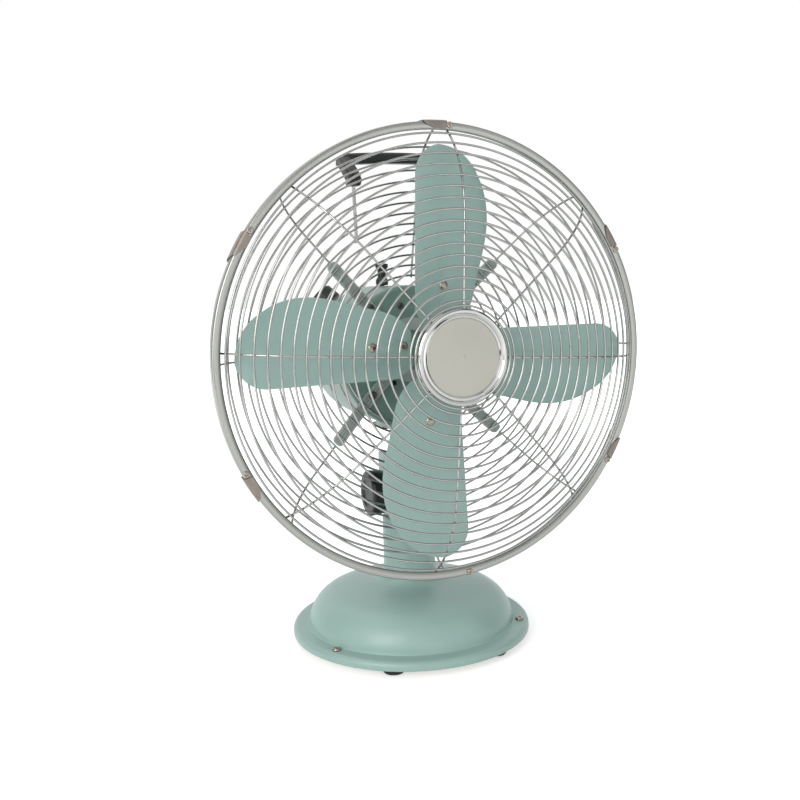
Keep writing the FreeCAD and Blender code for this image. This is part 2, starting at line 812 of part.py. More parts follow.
def make_motor_brackets():
    seat = S.stator_radius + PRESS_FIT
    rim = S.bracket_rim_radius
    bore = S.bearing_radius + PRESS_FIT
    boss = S.bearing_radius + 3.5
    web = BRACKET_WEB
    front = turned([
        (bore, -front_web_back - web),
        (rim, -front_web_back - web),
        (rim, 8),
        (seat, 8),
        (seat, -front_web_back),
        (boss, -front_web_back),
        (boss, -front_web_back + 6),
        (bore, -front_web_back + 6),
    ], (0, 0, axis_height), "Y")
    posts = []
    holes = []
    post_length = S.cover_face - S.housing_wall - front_web_back - web
    for angle in COVER_SCREW_ANGLES:
        x, z = polar(COVER_SCREW_CIRCLE, angle)
        foot = (x, -(S.cover_face - S.housing_wall), axis_height + z)
        posts.append(rod(3.6, post_length + 1, foot, Y_AXIS))
        holes.append(rod(1.5 + S.screw_fit, 14, (x, -(S.cover_face + 2), axis_height + z), Y_AXIS))
    node(cut(fuse([front] + posts), holes), "front_bracket")
    node(turned([
        (bore, rear_web_back),
        (rim, rear_web_back),
        (rim, 18),
        (seat, 18),
        (seat, rear_web_front),
        (boss, rear_web_front),
        (boss, rear_web_front - 6),
        (bore, rear_web_front - 6),
    ], (0, 0, axis_height), "Y"), "rear_bracket")
    sleeves = []
    for start, length in ((-front_web_back - web, web + 6), (rear_web_front - 6, web + 6)):
        sleeve = rod(S.bearing_radius, length, (0, start, axis_height), Y_AXIS)
        bore = rod(S.shaft_radius + S.running_fit, 200, (0, -100, axis_height), Y_AXIS)
        sleeves.append(cut(sleeve, [bore]))
    node(group(sleeves), "bearings")


def make_capacitor():
    case = block((20, rear_web_back + 0.1, axis_height - 22),
                 (43, rear_web_back + 22, axis_height - 6))
    node(case, "capacitor")


def make_gearbox_case():
    wheel = S.wheel_offset + S.wheel_radius
    low = axis_height - 36.5
    high = axis_height + 13.5
    back = S.gear_axis + 13
    wall = 1.5
    outer = block((-wheel - 0.8 - wall, rear_web_back, low), (12.5, back, high))
    inner = block((-wheel - 0.8, rear_web_back - 1, low + wall), (12.5 - wall, back - wall, high - wall))
    axle = rod(2 + S.running_fit, 80, (-S.wheel_offset, S.gear_axis, low - 10))
    tools = [
        inner,
        axle,
        rod(3 + S.running_fit, 20, (0, S.gear_axis, low - 10)),
        rod(2 + S.running_fit, 20, (0, S.gear_axis, high - 10)),
    ]
    node(cut(outer, tools), "gearbox_case")


SPEED_SEAT_GAP = 1.3
SPEED_STEM_TIP = -10.2


def make_speed_switch():
    body = fuse([
        rod(9.5, 11, along_direction(speed_at, speed_out, -14), speed_out),
        rod(3.5, 4, along_direction(speed_at, speed_out, -3.4), speed_out),
    ])
    bore = rod(2.0 + S.running_fit, 20, along_direction(speed_at, speed_out, SPEED_STEM_TIP - 0.8), speed_out)
    node(cut(body, [bore]), "speed_switch")


# ---------------------------------------------------------------- guards
SPOKES = 8
WELD = 0.2
RIM_GAP = 0.3


def meridian(start, bend, slope, sign, rim_point):
    """The side view of a spoke: a straight stretch, then an arc that ends at the rim.
    start is (radius, y) of the straight stretch's inner end; sign is the way it leans."""
    direction = FreeCAD.Vector(1, sign * slope, 0).normalize()
    first = FreeCAD.Vector(start[0], start[1], 0)
    knee = FreeCAD.Vector(bend, start[1] + sign * slope * (bend - start[0]), 0)
    chord = rim_point - knee
    side = FreeCAD.Vector(-direction.y, direction.x, 0)
    if side.dot(chord) < 0:
        side = side * -1
    radius = chord.dot(chord) / (2 * chord.dot(side))
    centre = knee + side * radius
    return SimpleNamespace(first=first, knee=knee, rim=rim_point, radius=radius, centre=centre,
                           direction=direction, side=side)


def meridian_point(curve, r):
    """The point and the outward normal of a meridian at a radius."""
    if r <= curve.knee.x:
        along = (r - curve.first.x) / (curve.knee.x - curve.first.x)
        return curve.first + (curve.knee - curve.first) * along, curve.side * -1
    reach = r - curve.centre.x
    rise = math.sqrt(curve.radius**2 - reach**2)
    height = curve.centre.y - math.copysign(rise, curve.side.y)
    point = FreeCAD.Vector(r, height, 0)
    return point, (point - curve.centre).normalize()


def spoke_shape(curve, inner, wire):
    """A round wire along a meridian, from a radius out to the rim."""
    middle_direction = ((curve.knee - curve.centre) + (curve.rim - curve.centre)).normalize()
    arc = Part.Arc(curve.knee, curve.centre + middle_direction * curve.radius, curve.rim)
    start = meridian_point(curve, inner)[0]
    path = Part.Wire([Part.LineSegment(start, curve.knee).toShape(), arc.toShape()])
    section = Part.Wire([Part.makeCircle(wire, start, curve.direction)])
    return path.makePipeShell([section], True, False)


def guard_ring(radius, y, wire):
    return Part.makeTorus(radius, wire, FreeCAD.Vector(0, y, 0), Y_AXIS)


def make_front_guard():
    wire = float(S.wire)
    rim_wire = float(S.rim_wire)
    front = -float(S.ring_front)
    wall = float(S.ring_wall)
    channel = float(S.ring_radius) - wall
    rim_r = channel - rim_wire - 0.6
    rim_y = front + wall + rim_wire + 1.3
    face = float(S.front_face)
    start_r = float(S.badge_disc_radius) + 1.0
    rim_point = FreeCAD.Vector(rim_r - 1.3, rim_y, 0)
    curve = meridian((start_r, -face), float(S.front_bend), float(S.front_slope), 1, rim_point)
    spokes = []
    for step in range(SPOKES):
        spoke = spoke_shape(curve, start_r, wire)
        spoke.rotate(FreeCAD.Vector(), Y_AXIS, -(float(S.front_turn) + 360.0 * step / SPOKES))
        spokes.append(spoke)
    rings = [guard_ring(rim_r, rim_y, rim_wire)]
    radii = [float(S.badge_radius) + 2.4]
    r = float(S.front_first_ring)
    while r < channel - 7:
        radii.append(r)
        r += float(S.ring_pitch)
    for r in radii:
        point, normal = meridian_point(curve, r)
        seat = point + normal * (2 * wire - WELD)
        rings.append(guard_ring(seat.x, seat.y, wire))
    guard = solid_of(rings[0].multiFuse(rings[1:] + spokes))
    node(place(guard, (0, 0, axis_height)), "front_guard")


def rear_curve():
    rim_wire = float(S.rim_wire)
    wall = float(S.ring_wall)
    back = -float(S.ring_front) + float(S.ring_depth)
    rim_r = float(S.ring_radius) - wall - rim_wire - 0.6
    rim_y = back - wall - rim_wire - RIM_GAP
    rim_point = FreeCAD.Vector(rim_r - 1.3, rim_y, 0)
    start = (float(S.rear_first_ring) - 2, -float(S.rear_start) + 2 * float(S.rear_slope))
    curve = meridian(start, float(S.rear_bend), float(S.rear_slope), -1, rim_point)
    return curve, rim_r, rim_y


def make_rear_guard():
    wire = float(S.wire)
    curve, rim_r, rim_y = rear_curve()
    spokes = []
    for step in range(SPOKES):
        inner = curve.first.x if step % 2 == 0 else float(S.arm_end) + 1
        spoke = spoke_shape(curve, inner, wire)
        spoke.rotate(FreeCAD.Vector(), Y_AXIS, -360.0 * step / SPOKES)
        spokes.append(spoke)
    rings = [guard_ring(rim_r, rim_y, float(S.rim_wire))]
    r = float(S.rear_first_ring)
    while r < rim_r - 7:
        point, normal = meridian_point(curve, r)
        seat = point - normal * (2 * wire - WELD)
        rings.append(guard_ring(seat.x, seat.y, wire))
        r += float(S.ring_pitch)
    guard = solid_of(rings[0].multiFuse(rings[1:] + spokes))
    node(place(guard, (0, 0, axis_height)), "rear_guard")


def make_guard_band():
    edge = S.ring_radius
    inner = S.ring_radius - S.ring_wall
    lip = S.ring_radius - S.ring_lip
    rear_lip = lip + 1.6
    front = -S.ring_front
    back = -S.ring_front + S.ring_depth
    corner = 1.5
    section = [
        (lip, front),
        (edge - corner, front, corner, 1),
        (edge, front + corner),
        (edge, back - corner, corner, 1),
        (edge - corner, back),
        (rear_lip, back),
        (rear_lip, back - S.ring_wall),
        (inner, back - S.ring_wall),
        (inner, front + S.ring_wall),
        (lip, front + S.ring_wall),
    ]
    holes = [rod(BAND_SCREW_SHANK + S.screw_fit, 4, (x, -S.ring_front - 2, z), Y_AXIS)
             for x, z in band_screw_seats()]
    node(cut(turned(section, (0, 0, axis_height), "Y"), holes), "guard_band")


CLIP_ANGLES = [90, 30, -30, -150, 150]
CLIP_SHIFT = 2.8
LOCK_ANGLE = -84.0
BAND_SCREW_SHANK = 0.9


def band_screw_seats():
    """Where the band's small screws seat on its front lip: one beside each clip, one at the lock."""
    seats = []
    for angle in [a - CLIP_SHIFT - 0.4 for a in CLIP_ANGLES] + [LOCK_ANGLE]:
        x, z = polar(S.ring_radius - 2.3, angle)
        seats.append((x, axis_height + z))
    return seats


def make_band_screws():
    """Small screws through the band's front lip: one beside each clip and one at the band's lock."""
    screws = [screw(2.0, 1.4, BAND_SCREW_SHANK, 0.9, (x, -S.ring_front - PRESS_FIT, z), -Y_AXIS)
              for x, z in band_screw_seats()]
    node(group(screws), "band_screws")


def make_clips():
    """Formed spring clips over the band; each tips back about the foot of its rear leg."""
    low = S.ring_radius - 5.5
    top = S.ring_radius + S.loose_fit + S.clip_sheet
    front = -S.ring_front - 0.4 - S.clip_sheet
    back = -S.ring_front + S.ring_depth + 0.4 + S.clip_sheet
    half = S.clip_width * 0.5
    for index, angle in enumerate(CLIP_ANGLES, start=1):
        sheet_parts = fuse([
            block((-half, front, top - S.clip_sheet), (half, back, top)),
            block((-half, front, low), (half, front + S.clip_sheet, top)),
            block((-half, back - S.clip_sheet, low + 2), (half, back, top)),
            block((-half + 5, front - 1.6, top - S.clip_sheet - 1.2),
                  (half - 5, front + 0.2, top - S.clip_sheet)),
        ])
        turn = FreeCAD.Rotation(Y_AXIS, 90 - (angle + CLIP_SHIFT))
        node(place(sheet_parts, (0, 0, axis_height), turn), f"clip_{index}")


def make_badge():
    front = -S.badge_front
    lip_back = front + 1.5
    wall = S.badge_disc_radius
    spoke_back = -S.front_face + S.wire + 0.1
    section = [
        (wall - 1.2, front + 0.9),
        (wall + 0.3, front, 40, 1),
        (S.badge_radius - 1.1, front + 0.1, 1.2, 1),
        (S.badge_radius, lip_back - 0.3),
        (S.badge_radius - 0.4, lip_back),
        (wall, lip_back),
        (wall, spoke_back),
        (S.badge_radius + 1, spoke_back),
        (S.badge_radius + 1, spoke_back + 1),
        (wall - 1.2, spoke_back + 1),
    ]
    node(turned(section, (0, 0, axis_height), "Y"), "badge_rim")
    disc = [
        (0, front + 0.5),
        (wall - 1.3, front + 1.1),
        (wall - 1.3, front + 2.3),
        (0, front + 1.7),
    ]
    node(turned(disc, (0, 0, axis_height), "Y"), "badge_disc")


def make_guard_spider():
    """Four ribbed arms in one casting with a middle ring, screwed to the motor's front cover."""
    slope = float(S.rear_slope)
    seat = -float(S.cover_face) - 0.05
    thick = float(S.arm_thickness)
    knee = float(S.rear_first_ring) - 2
    end = float(S.arm_end)
    half = float(S.arm_width) / 2
    curve, _, _ = rear_curve()
    ring_back = WELD - float(S.wire)
    knee_y = meridian_point(curve, knee)[0].y + (ring_back + 0.05) * math.sqrt(1 + slope * slope)
    end_y = knee_y - slope * (end - knee)
    start = 22.0
    flat_end = ARM_SCREW_CIRCLE + 4

    def band(line, low, high):
        """The strip between two copies of a line, moved along Y."""
        return [(x, y + high) for x, y in line] + [(x, y + low) for x, y in reversed(line)]

    def prism(points, low, high):
        corners = [FreeCAD.Vector(x, y, low) for x, y in points]
        return Part.Face(Part.makePolygon(corners + corners[:1])).extrude(FreeCAD.Vector(0, 0, high - low))

    front = [(start, seat - thick), (flat_end, seat - thick), (knee, knee_y), (end, end_y)]
    arm = prism(band(front, 0, thick), -half, half)
    tips = [edge for edge in arm.Edges
            if abs(edge.CenterOfMass.x - end) < 0.01 and abs(abs(edge.CenterOfMass.z) - half) < 0.01]
    arm = arm.makeFillet(half * 0.75, tips)
    groove_depth = 0.9
    tip_wall = 1.5
    grooved = [(start - 1, seat - thick)] + front[1:3] + [(end - tip_wall, end_y + slope * tip_wall)]
    step = float(S.arm_width) / 4
    for offset in (-step, 0, step):
        arm = arm.cut(prism(band(grooved, -2, groove_depth), offset - 0.6, offset + 0.6))
    pieces = []
    for angle in ARM_ANGLES:
        turned_arm = arm.copy()
        turned_arm.rotate(FreeCAD.Vector(), Y_AXIS, -angle)
        pieces.append(turned_arm)
    ring = Part.makeCylinder(26, 2, FreeCAD.Vector(0, seat - 2, 0), Y_AXIS)
    ring = ring.cut(Part.makeCylinder(16, 4, FreeCAD.Vector(0, seat - 3, 0), Y_AXIS))
    spider = ring.multiFuse(pieces)
    for angle in ARM_ANGLES:
        turn = math.radians(angle)
        spot = FreeCAD.Vector(ARM_SCREW_CIRCLE * math.cos(turn), -30, ARM_SCREW_CIRCLE * math.sin(turn))
        spider = spider.cut(Part.makeCylinder(1.8 + float(S.screw_fit), 30, spot, Y_AXIS))
    node(place(solid_of(spider), (0, 0, axis_height)), "guard_spider")


def make_spider_screws():
    screws = []
    for angle in ARM_ANGLES:
        x, z = polar(ARM_SCREW_CIRCLE, angle)
        seat = -(S.cover_face + 0.05 + S.arm_thickness)
        screws.append(screw(3.4, 2.2, 1.8, S.arm_thickness + 3, (x, seat, axis_height + z), -Y_AXIS))
    node(group(screws), "spider_screws")


# ---------------------------------------------------------------- handle
HANDLE_CORNER = as_size(6)
HANDLE_BEVEL = 1.6
STRAP_BITE = 8.7
STRAP_BOLT = 4.5
handle_crown = S.handle_half * 12
leg_foot = handle_top - 29.5
strap_plane = S.handle_plane + S.handle_reach
strap_offset = S.handle_half - S.handle_leg * 0.5


def make_handle_grip():
    """A crowned bar whose two legs run forward and down to sockets for the straps."""
    half = S.handle_half
    drop = root((handle_crown - HANDLE_CORNER) * (handle_crown - HANDLE_CORNER)
                - (half - HANDLE_CORNER) * (half - HANDLE_CORNER))
    corner_z = handle_top - handle_crown + drop
    reach = handle_crown / (handle_crown - HANDLE_CORNER)
    meet_x = (half - HANDLE_CORNER) * reach
    meet_z = handle_top - handle_crown + drop * reach
    under_radius = handle_crown - S.handle_thickness
    under_z = handle_top - handle_crown + root(under_radius * under_radius - half * half)
    outline = [
        (-half, under_z, under_radius, -1),
        (half, under_z),
        (half, corner_z, HANDLE_CORNER, 1),
        (meet_x, meet_z, handle_crown, 1),
        (-meet_x, meet_z, HANDLE_CORNER, 1),
        (-half, corner_z),
    ]
    parts = [flat_plate(outline, "XZ_Plane", S.handle_depth, (0, -S.handle_plane, 0), bevelled=HANDLE_BEVEL)]
    leg = [
        (-S.handle_plane + 2, handle_top - 4),
        (-S.handle_plane - 5, handle_top - 4),
        (-strap_plane - 4.8, handle_top - 20.5),
        (-strap_plane - 4.8, leg_foot),
        (-strap_plane + 4.8, leg_foot),
        (-strap_plane + 4.8, leg_foot + 4),
        (-S.handle_plane + 3, handle_top - 9.5),
    ]
    slot = S.strap_thickness * 0.5 + 0.3
    deep = S.strap_depth * 0.5 + 0.3
    tools = []
    for side in (-1, 1):
        middle = side * strap_offset
        parts.append(flat_plate(leg, "YZ_Plane", S.handle_leg, (middle, 0, 0), bevelled=1.2))
        tools.append(block((middle - slot, -strap_plane - deep, leg_foot - 5),
                           (middle + slot, -strap_plane + deep, leg_foot + STRAP_BITE + 0.3)))
        tools.append(rod(1.6, 14, (middle - 7, -strap_plane, leg_foot + STRAP_BOLT), X_AXIS))
    node(cut(fuse(parts), tools), "handle_grip")


def make_handle_straps():
    """Two steel straps that rise from a ring of the rear guard into the legs of the grip."""
    curve, _, _ = rear_curve()
    pitch = float(S.ring_pitch)
    foot_ring = float(S.rear_first_ring) + 5 * pitch
    point, normal = meridian_point(curve, foot_ring)
    ring_back = (point - normal * (2 * float(S.wire) - WELD)).y + float(S.wire)
    foot_x = float(S.strap_foot)
    foot_z = float(axis_height) + math.sqrt(foot_ring**2 - foot_x**2)
    top_x = float(strap_offset)
    top_z = float(leg_foot)
    depth = float(S.strap_depth)
    thick = float(S.strap_thickness)
    foot_y = ring_back + 0.05 + depth / 2
    top_y = -float(strap_plane)
    straps = []
    for side in (-1, 1):
        rows = [
            (foot_x, foot_y, foot_z - 3),
            (foot_x + (top_x - foot_x) * 0.9, top_y, top_z - 4),
            (top_x, top_y, top_z + STRAP_BITE),
        ]
        wires = []
        for x, y, z in rows:
            corners = [FreeCAD.Vector(side * x + dx, y + dy, z)
                       for dx, dy in ((-thick / 2, -depth / 2), (thick / 2, -depth / 2),
                                      (thick / 2, depth / 2), (-thick / 2, depth / 2))]
            wires.append(Part.makePolygon(corners + corners[:1]))
        strap = Part.makeLoft(wires, True, True)
        seat = FreeCAD.Vector(side * top_x - 5, top_y, top_z + STRAP_BOLT)
        straps.append(strap.cut(Part.makeCylinder(1.6, 10, seat, X_AXIS)))
    node(solid_of(Part.makeCompound(straps)), "handle_straps")


def make_handle_bolts():
    bolts = []
    for side in (-1, 1):
        seat = (side * (strap_offset - S.handle_leg * 0.5), -strap_plane, leg_foot + STRAP_BOLT)
        bolts.append(screw(2.8, 1.6, 1.5, 10.0, seat, X_AXIS * -side))
    node(group(bolts), "handle_bolts")


# ---------------------------------------------------------------- rotor
def sheet_height(s, w):
    """How far forward of the origin a blade's rear face lies, s out from the axis and w across.
    A flat flange and a cambered wing meet at a crease along the blade."""
    past = w + float(S.crease_offset) - float(S.crease_lean) * s
    rise = float(S.flange_slope) * past
    if past > 0:
        rise = (float(S.bow_slope) + float(S.bow_camber) * past) * past
    return rise - float(S.blade_plane) - float(S.blade_cone) * (s - float(S.rivet_inner))


def pressed_sheet(corners, offset, thickness):
    """A sheet with the blade's creased section, trimmed to an outline of (w, s) edges."""
    rear = [FreeCAD.Vector(w, sheet_height(0, w) + offset, 0) for w in (-50, -float(S.crease_offset), 25, 70)]
    front = [point + FreeCAD.Vector(0, thickness, 0) for point in rear]
    section = [
        Part.LineSegment(rear[0], rear[1]).toShape(),
        Part.Arc(*rear[1:]).toShape(),
        Part.LineSegment(rear[3], front[3]).toShape(),
        Part.Arc(*reversed(front[1:])).toShape(),
        Part.LineSegment(front[1], front[0]).toShape(),
        Part.LineSegment(front[0], rear[0]).toShape(),
    ]
    run = FreeCAD.Vector(float(S.crease_lean), -float(S.blade_cone), 1) * (float(S.blade_tip) * 1.1)
    slab = Part.Face(Part.Wire(section)).extrude(run)
    prism = Part.Face(Part.Wire(corners)).extrude(FreeCAD.Vector(0, 110, 0))
    return slab.common(prism)


def flat_point(w, s):
    return FreeCAD.Vector(w, -float(S.blade_plane) - 60, s)


def blade_outline():
    """Leaf outline: a straight trailing edge, a bowed leading edge, a broad root and a round tip."""
    straight = -float(S.blade_straight_side)
    bowed = float(S.blade_round_side)
    root_s = float(S.blade_root)
    tip = float(S.blade_tip)
    length = tip - root_s
    root_left = flat_point(straight + 9, root_s)
    edge_low = flat_point(straight + 0.5, root_s + 14)
    edge_high = flat_point(straight, tip - length * 0.16)
    crown = flat_point(straight + 19, tip)
    bow_top = flat_point(bowed * 0.80, tip - length * 0.163)
    root_right = flat_point(bowed * 0.38, root_s)
    bow = Part.BSplineCurve()
    bow.interpolate([
        bow_top,
        flat_point(bowed * 0.94, tip - length * 0.265),
        flat_point(bowed, tip - length * 0.39),
        flat_point(bowed * 0.985, tip - length * 0.48),
        flat_point(bowed * 0.91, tip - length * 0.60),
        flat_point(bowed * 0.80, tip - length * 0.74),
        flat_point(bowed * 0.65, tip - length * 0.905),
        root_right,
    ])
    return [
        Part.LineSegment(root_left, edge_low).toShape(),
        Part.LineSegment(edge_low, edge_high).toShape(),
        Part.Arc(edge_high, flat_point(straight + 6, tip - length * 0.052), crown).toShape(),
        Part.Arc(crown, flat_point(bowed * 0.50, tip - length * 0.05), bow_top).toShape(),
        bow.toShape(),
        Part.LineSegment(root_right, root_left).toShape(),
    ]


def arm_outline():
    half = float(S.spider_arm_half)
    end = float(S.spider_arm_end)
    side = float(S.rivet_side)
    corners = [flat_point(-half * 0.3, 4), flat_point(side - half, end - half),
               flat_point(side + half, end - half), flat_point(half, 4)]
    return [
        Part.LineSegment(corners[0], corners[1]).toShape(),
        Part.Arc(corners[1], flat_point(side, end), corners[2]).toShape(),
        Part.LineSegment(corners[2], corners[3]).toShape(),
        Part.LineSegment(corners[3], corners[0]).toShape(),
    ]


def rivet_frame(s):
    """The point on the blade's rear face at a rivet, and the sheet's forward normal."""
    step = 0.5
    w = float(S.rivet_side)
    across = (sheet_height(s, w + step) - sheet_height(s, w - step)) / (2 * step)
    along = (sheet_height(s + step, w) - sheet_height(s - step, w)) / (2 * step)
    normal = FreeCAD.Vector(across, -1, along).normalize()
    return FreeCAD.Vector(w, sheet_height(s, w), s), normal


ARM_SHEET = 1.5
SHEET_GAP = 0.1


def make_rotor_blades():
    blade = pressed_sheet(blade_outline(), -float(S.blade_thickness), float(S.blade_thickness))
    for s in (float(S.rivet_inner), float(S.rivet_outer)):
        point, normal = rivet_frame(s)
        blade = blade.cut(Part.makeCylinder(2.05, 12, point - normal * 6, normal))
    for step in range(4):
        petal = place(solid_of(blade.copy()), (0, 0, axis_height), FreeCAD.Rotation(Y_AXIS, 90.0 * step))
        node(petal, f"blade_{step + 1}")


def make_blade_hub():
    arm = pressed_sheet(arm_outline(), SHEET_GAP, ARM_SHEET)
    for s in (float(S.rivet_inner), float(S.rivet_outer)):
        point, normal = rivet_frame(s)
        arm = arm.cut(Part.makeCylinder(2.05, 12, point - normal * 6, normal))
    arms = []
    for step in range(4):
        copy = arm.copy()
        copy.rotate(FreeCAD.Vector(), Y_AXIS, 90.0 * step)
        arms.append(copy)
    plane = -float(S.blade_plane)
    boss = Part.makeCylinder(14, 22, FreeCAD.Vector(0, plane - 6, 0), Y_AXIS)
    hub = boss.multiFuse(arms)
    bore = Part.makeCylinder(float(S.shaft_radius) + PRESS_FIT, 80, FreeCAD.Vector(0, plane - 40, 0), Y_AXIS)
    hub = hub.cut(bore)
    node(place(solid_of(hub), (0, 0, axis_height)), "blade_hub")


def make_blade_rivets():
    rivets = []
    sheet = float(S.blade_thickness)
    for s in (float(S.rivet_inner), float(S.rivet_outer)):
        point, normal = rivet_frame(s)
        cosine_of_pitch = abs(normal.y)
        front = point + normal * (sheet * cosine_of_pitch + 0.08)
        back = point - normal * ((SHEET_GAP + ARM_SHEET) * cosine_of_pitch + 0.08)
        shank = Part.makeCylinder(2.0, (front - back).Length, back, normal)
        head = Part.makeCone(3.6, 2.4, 1.4, front, normal)
        tail = Part.makeCone(3.4, 2.6, 1.2, back, normal * -1)
        rivet = shank.multiFuse([head, tail])
        for step in range(4):
            copy = rivet.copy()
            copy.rotate(FreeCAD.Vector(), Y_AXIS, 90.0 * step)
            rivets.append(copy)
    node(place(solid_of(Part.makeCompound(rivets)), (0, 0, axis_height)), "blade_rivets")


def make_rotor_shaft():
    front = S.blade_plane + 15
    back = S.gear_axis + 9
    node(rod(S.shaft_radius, front + back, (0, -front, axis_height), Y_AXIS), "rotor_shaft")
    length = S.stator_back + S.stator_front
    core = rod(S.stator_bore - S.rotor_gap, length, (0, -S.stator_front, axis_height), Y_AXIS)
    bore = rod(S.shaft_radius + PRESS_FIT, length + 2, (0, -S.stator_front - 1, axis_height), Y_AXIS)
    node(cut(core, [bore]), "rotor_core")
    nut = fuse([
        rod(7.5, 4, (0, -S.blade_plane - 10.1, axis_height), Y_AXIS),
        cone(4.6, 7.5, 3, (0, -S.blade_plane - 13.1, axis_height), Y_AXIS),
    ])
    bore = rod(S.shaft_radius + PRESS_FIT, 40, (0, -S.blade_plane - 30, axis_height), Y_AXIS)
    node(cut(nut, [bore]), "hub_nut")


def make_worm():
    start = S.gear_axis - 7
    sleeve = rod(S.worm_radius - 0.5, 14, (0, start, axis_height), Y_AXIS)
    turns = [rod(S.worm_radius, 1.2, (0, start + 1.0 + 2.7 * step, axis_height), Y_AXIS)
             for step in range(5)]
    bore = rod(S.shaft_radius + PRESS_FIT, 20, (0, start - 3, axis_height), Y_AXIS)
    node(cut(fuse([sleeve] + turns), [bore]), "worm")


# ---------------------------------------------------------------- oscillation gears
def toothed(radius, teeth, depth, width, at):
    blank = rod(radius, width, at)
    notches = []
    for step in range(teeth):
        x, y = polar(radius, 360.0 * step / teeth)
        notches.append(rod(depth, as_size(width) + 2, (at[0] + x, at[1] + y, at[2] - 1)))
    return cut(blank, notches)


def make_worm_wheel():
    axis = (-S.wheel_offset, S.gear_axis)
    low = axis_height - 36.5
    wheel = toothed(S.wheel_radius, 20, 0.7, 6, (axis[0], axis[1], axis_height - 3))
    pinion = toothed(S.pinion_radius, 10, 0.6, 5, (axis[0], axis[1], axis_height - 30.5))
    axle = rod(2, 50, (axis[0], axis[1], low))
    node(fuse([wheel, pinion, axle]), "worm_wheel")


def make_crank():
    top = axis_height - 30.5
    disc_low = link_height + S.link_thickness + 3
    gear_radius = S.wheel_offset - S.pinion_radius - 0.4
    gear = toothed(gear_radius, 24, 0.6, 5, (ZERO, S.gear_axis, top))
    pin_x, pin_y = polar(S.crank_radius, 20)
    crank = fuse([
        gear,
        rod(3, top + 7 - disc_low, (0, S.gear_axis, disc_low)),
        rod(S.crank_radius + 3, 3, (0, S.gear_axis, disc_low)),
        rod(2, 3.7, (pin_x, S.gear_axis + pin_y, disc_low - 2.7)),
    ])
    node(crank, "crank_gear")


def make_osc_link():
    pin_x, pin_y = polar(S.crank_radius, 20)
    end_x = float(pin_x) - float(S.stud_offset)
    end_y = float(S.gear_axis + pin_y)
    length = math.hypot(end_x, end_y)
    low = float(link_height)
    thick = float(S.link_thickness)
    start = FreeCAD.Vector(0, 0, 0)
    bar = Part.makeBox(length, 5, thick, FreeCAD.Vector(0, -2.5, 0))
    eye = Part.makeCylinder(4.5, thick, start)
    far = Part.makeCylinder(4.0, thick, FreeCAD.Vector(length, 0, 0))
    link = eye.multiFuse([bar, far])
    eye_bore = float(S.stud_radius + S.running_fit)
    link = link.cut(Part.makeCylinder(eye_bore, thick + 2, FreeCAD.Vector(0, 0, -1)))
    link = link.cut(Part.makeCylinder(2.1, thick + 2, FreeCAD.Vector(length, 0, -1)))
    angle = math.degrees(math.atan2(end_y, end_x))
    feature = solid_of(link)
    turn = FreeCAD.Rotation(Z_AXIS, angle)
    node(place(feature, (S.stud_offset, 0, low), turn), "osc_link")


# ---------------------------------------------------------------- controls
def make_osc_knob():
    housing_top = housing_height + S.housing_radius
    low = housing_top + 0.5
    radius = S.pull_knob_radius
    tall = S.pull_knob_height
    section = [
        (0, 0),
        (radius - 0.8, 0),
        (radius - 0.2, 1.0),
        (radius - 0.2, tall * 0.25),
        (radius - 1.9, tall * 0.38),
        (radius - 1.9, tall * 0.68),
        (radius, tall * 0.84),
        (radius, tall - 1.2, 1.2, 1),
        (radius - 1.2, tall),
        (0, tall),
    ]
    knob = turned(section, (0, S.gear_axis, low))
    stem = rod(2, low - axis_height - 7, (0, S.gear_axis, axis_height + 7.5))
    node(fuse([knob, stem]), "osc_knob")


def make_speed_knob():
    radius = S.speed_knob_radius
    tall = S.speed_knob_height
    section = [
        (0, 0),
        (radius - 0.8, 0),
        (radius, 0.8),
        (radius - 1.0, tall - 2.5, 2.5, 1),
        (radius - 3.5, tall),
        (0, tall),
    ]
    head = turned(section)
    flutes = []
    for step in range(16):
        x, y = polar(radius + 0.6, 22.5 * step)
        flutes.append(rod(1.5, tall + 4, (x, y, 2.5)))
    stem = rod(2, 12, (0, 0, SPEED_STEM_TIP - SPEED_SEAT_GAP))
    knob = fuse([cut(head, flutes), stem])
    at = along_direction(speed_at, speed_out, SPEED_SEAT_GAP)
    node(place(knob, at, towards(speed_out)), "speed_knob")


for make in (
    make_base_shell, make_base_plate, make_ballast, make_feet, make_base_screws, make_cord_gland,
    make_terminal_block, make_neck_lug, make_lug_bolts,
    make_tilt_bracket, make_tilt_bolt, make_tilt_washers, make_tilt_knob, make_pivot_pin, make_link_stud,
    make_motor_cradle, make_pivot_bush, make_pivot_clip,
    make_rear_housing, make_front_cover, make_housing_screws, make_stator, make_motor_brackets,
    make_capacitor, make_gearbox_case, make_speed_switch,
    make_guard_spider, make_spider_screws, make_rear_guard, make_front_guard, make_guard_band,
    make_band_screws, make_clips, make_badge,
    make_handle_grip, make_handle_straps, make_handle_bolts,
    make_rotor_blades, make_blade_hub, make_blade_rivets, make_rotor_shaft, make_worm,
    make_worm_wheel, make_crank, make_osc_link, make_osc_knob, make_speed_knob,
):
    make()

doc.recompute()

faults = [item.Label for item in doc.Objects if {"Invalid", "Error"} & set(item.State)]
if faults:
    raise RuntimeError(f"objects failed: {faults}")
for item in nodes:
    if item.Shape.isNull() or not item.Shape.isValid() or not item.Shape.Solids:
        raise RuntimeError(f"{item.Label} has no valid solid")

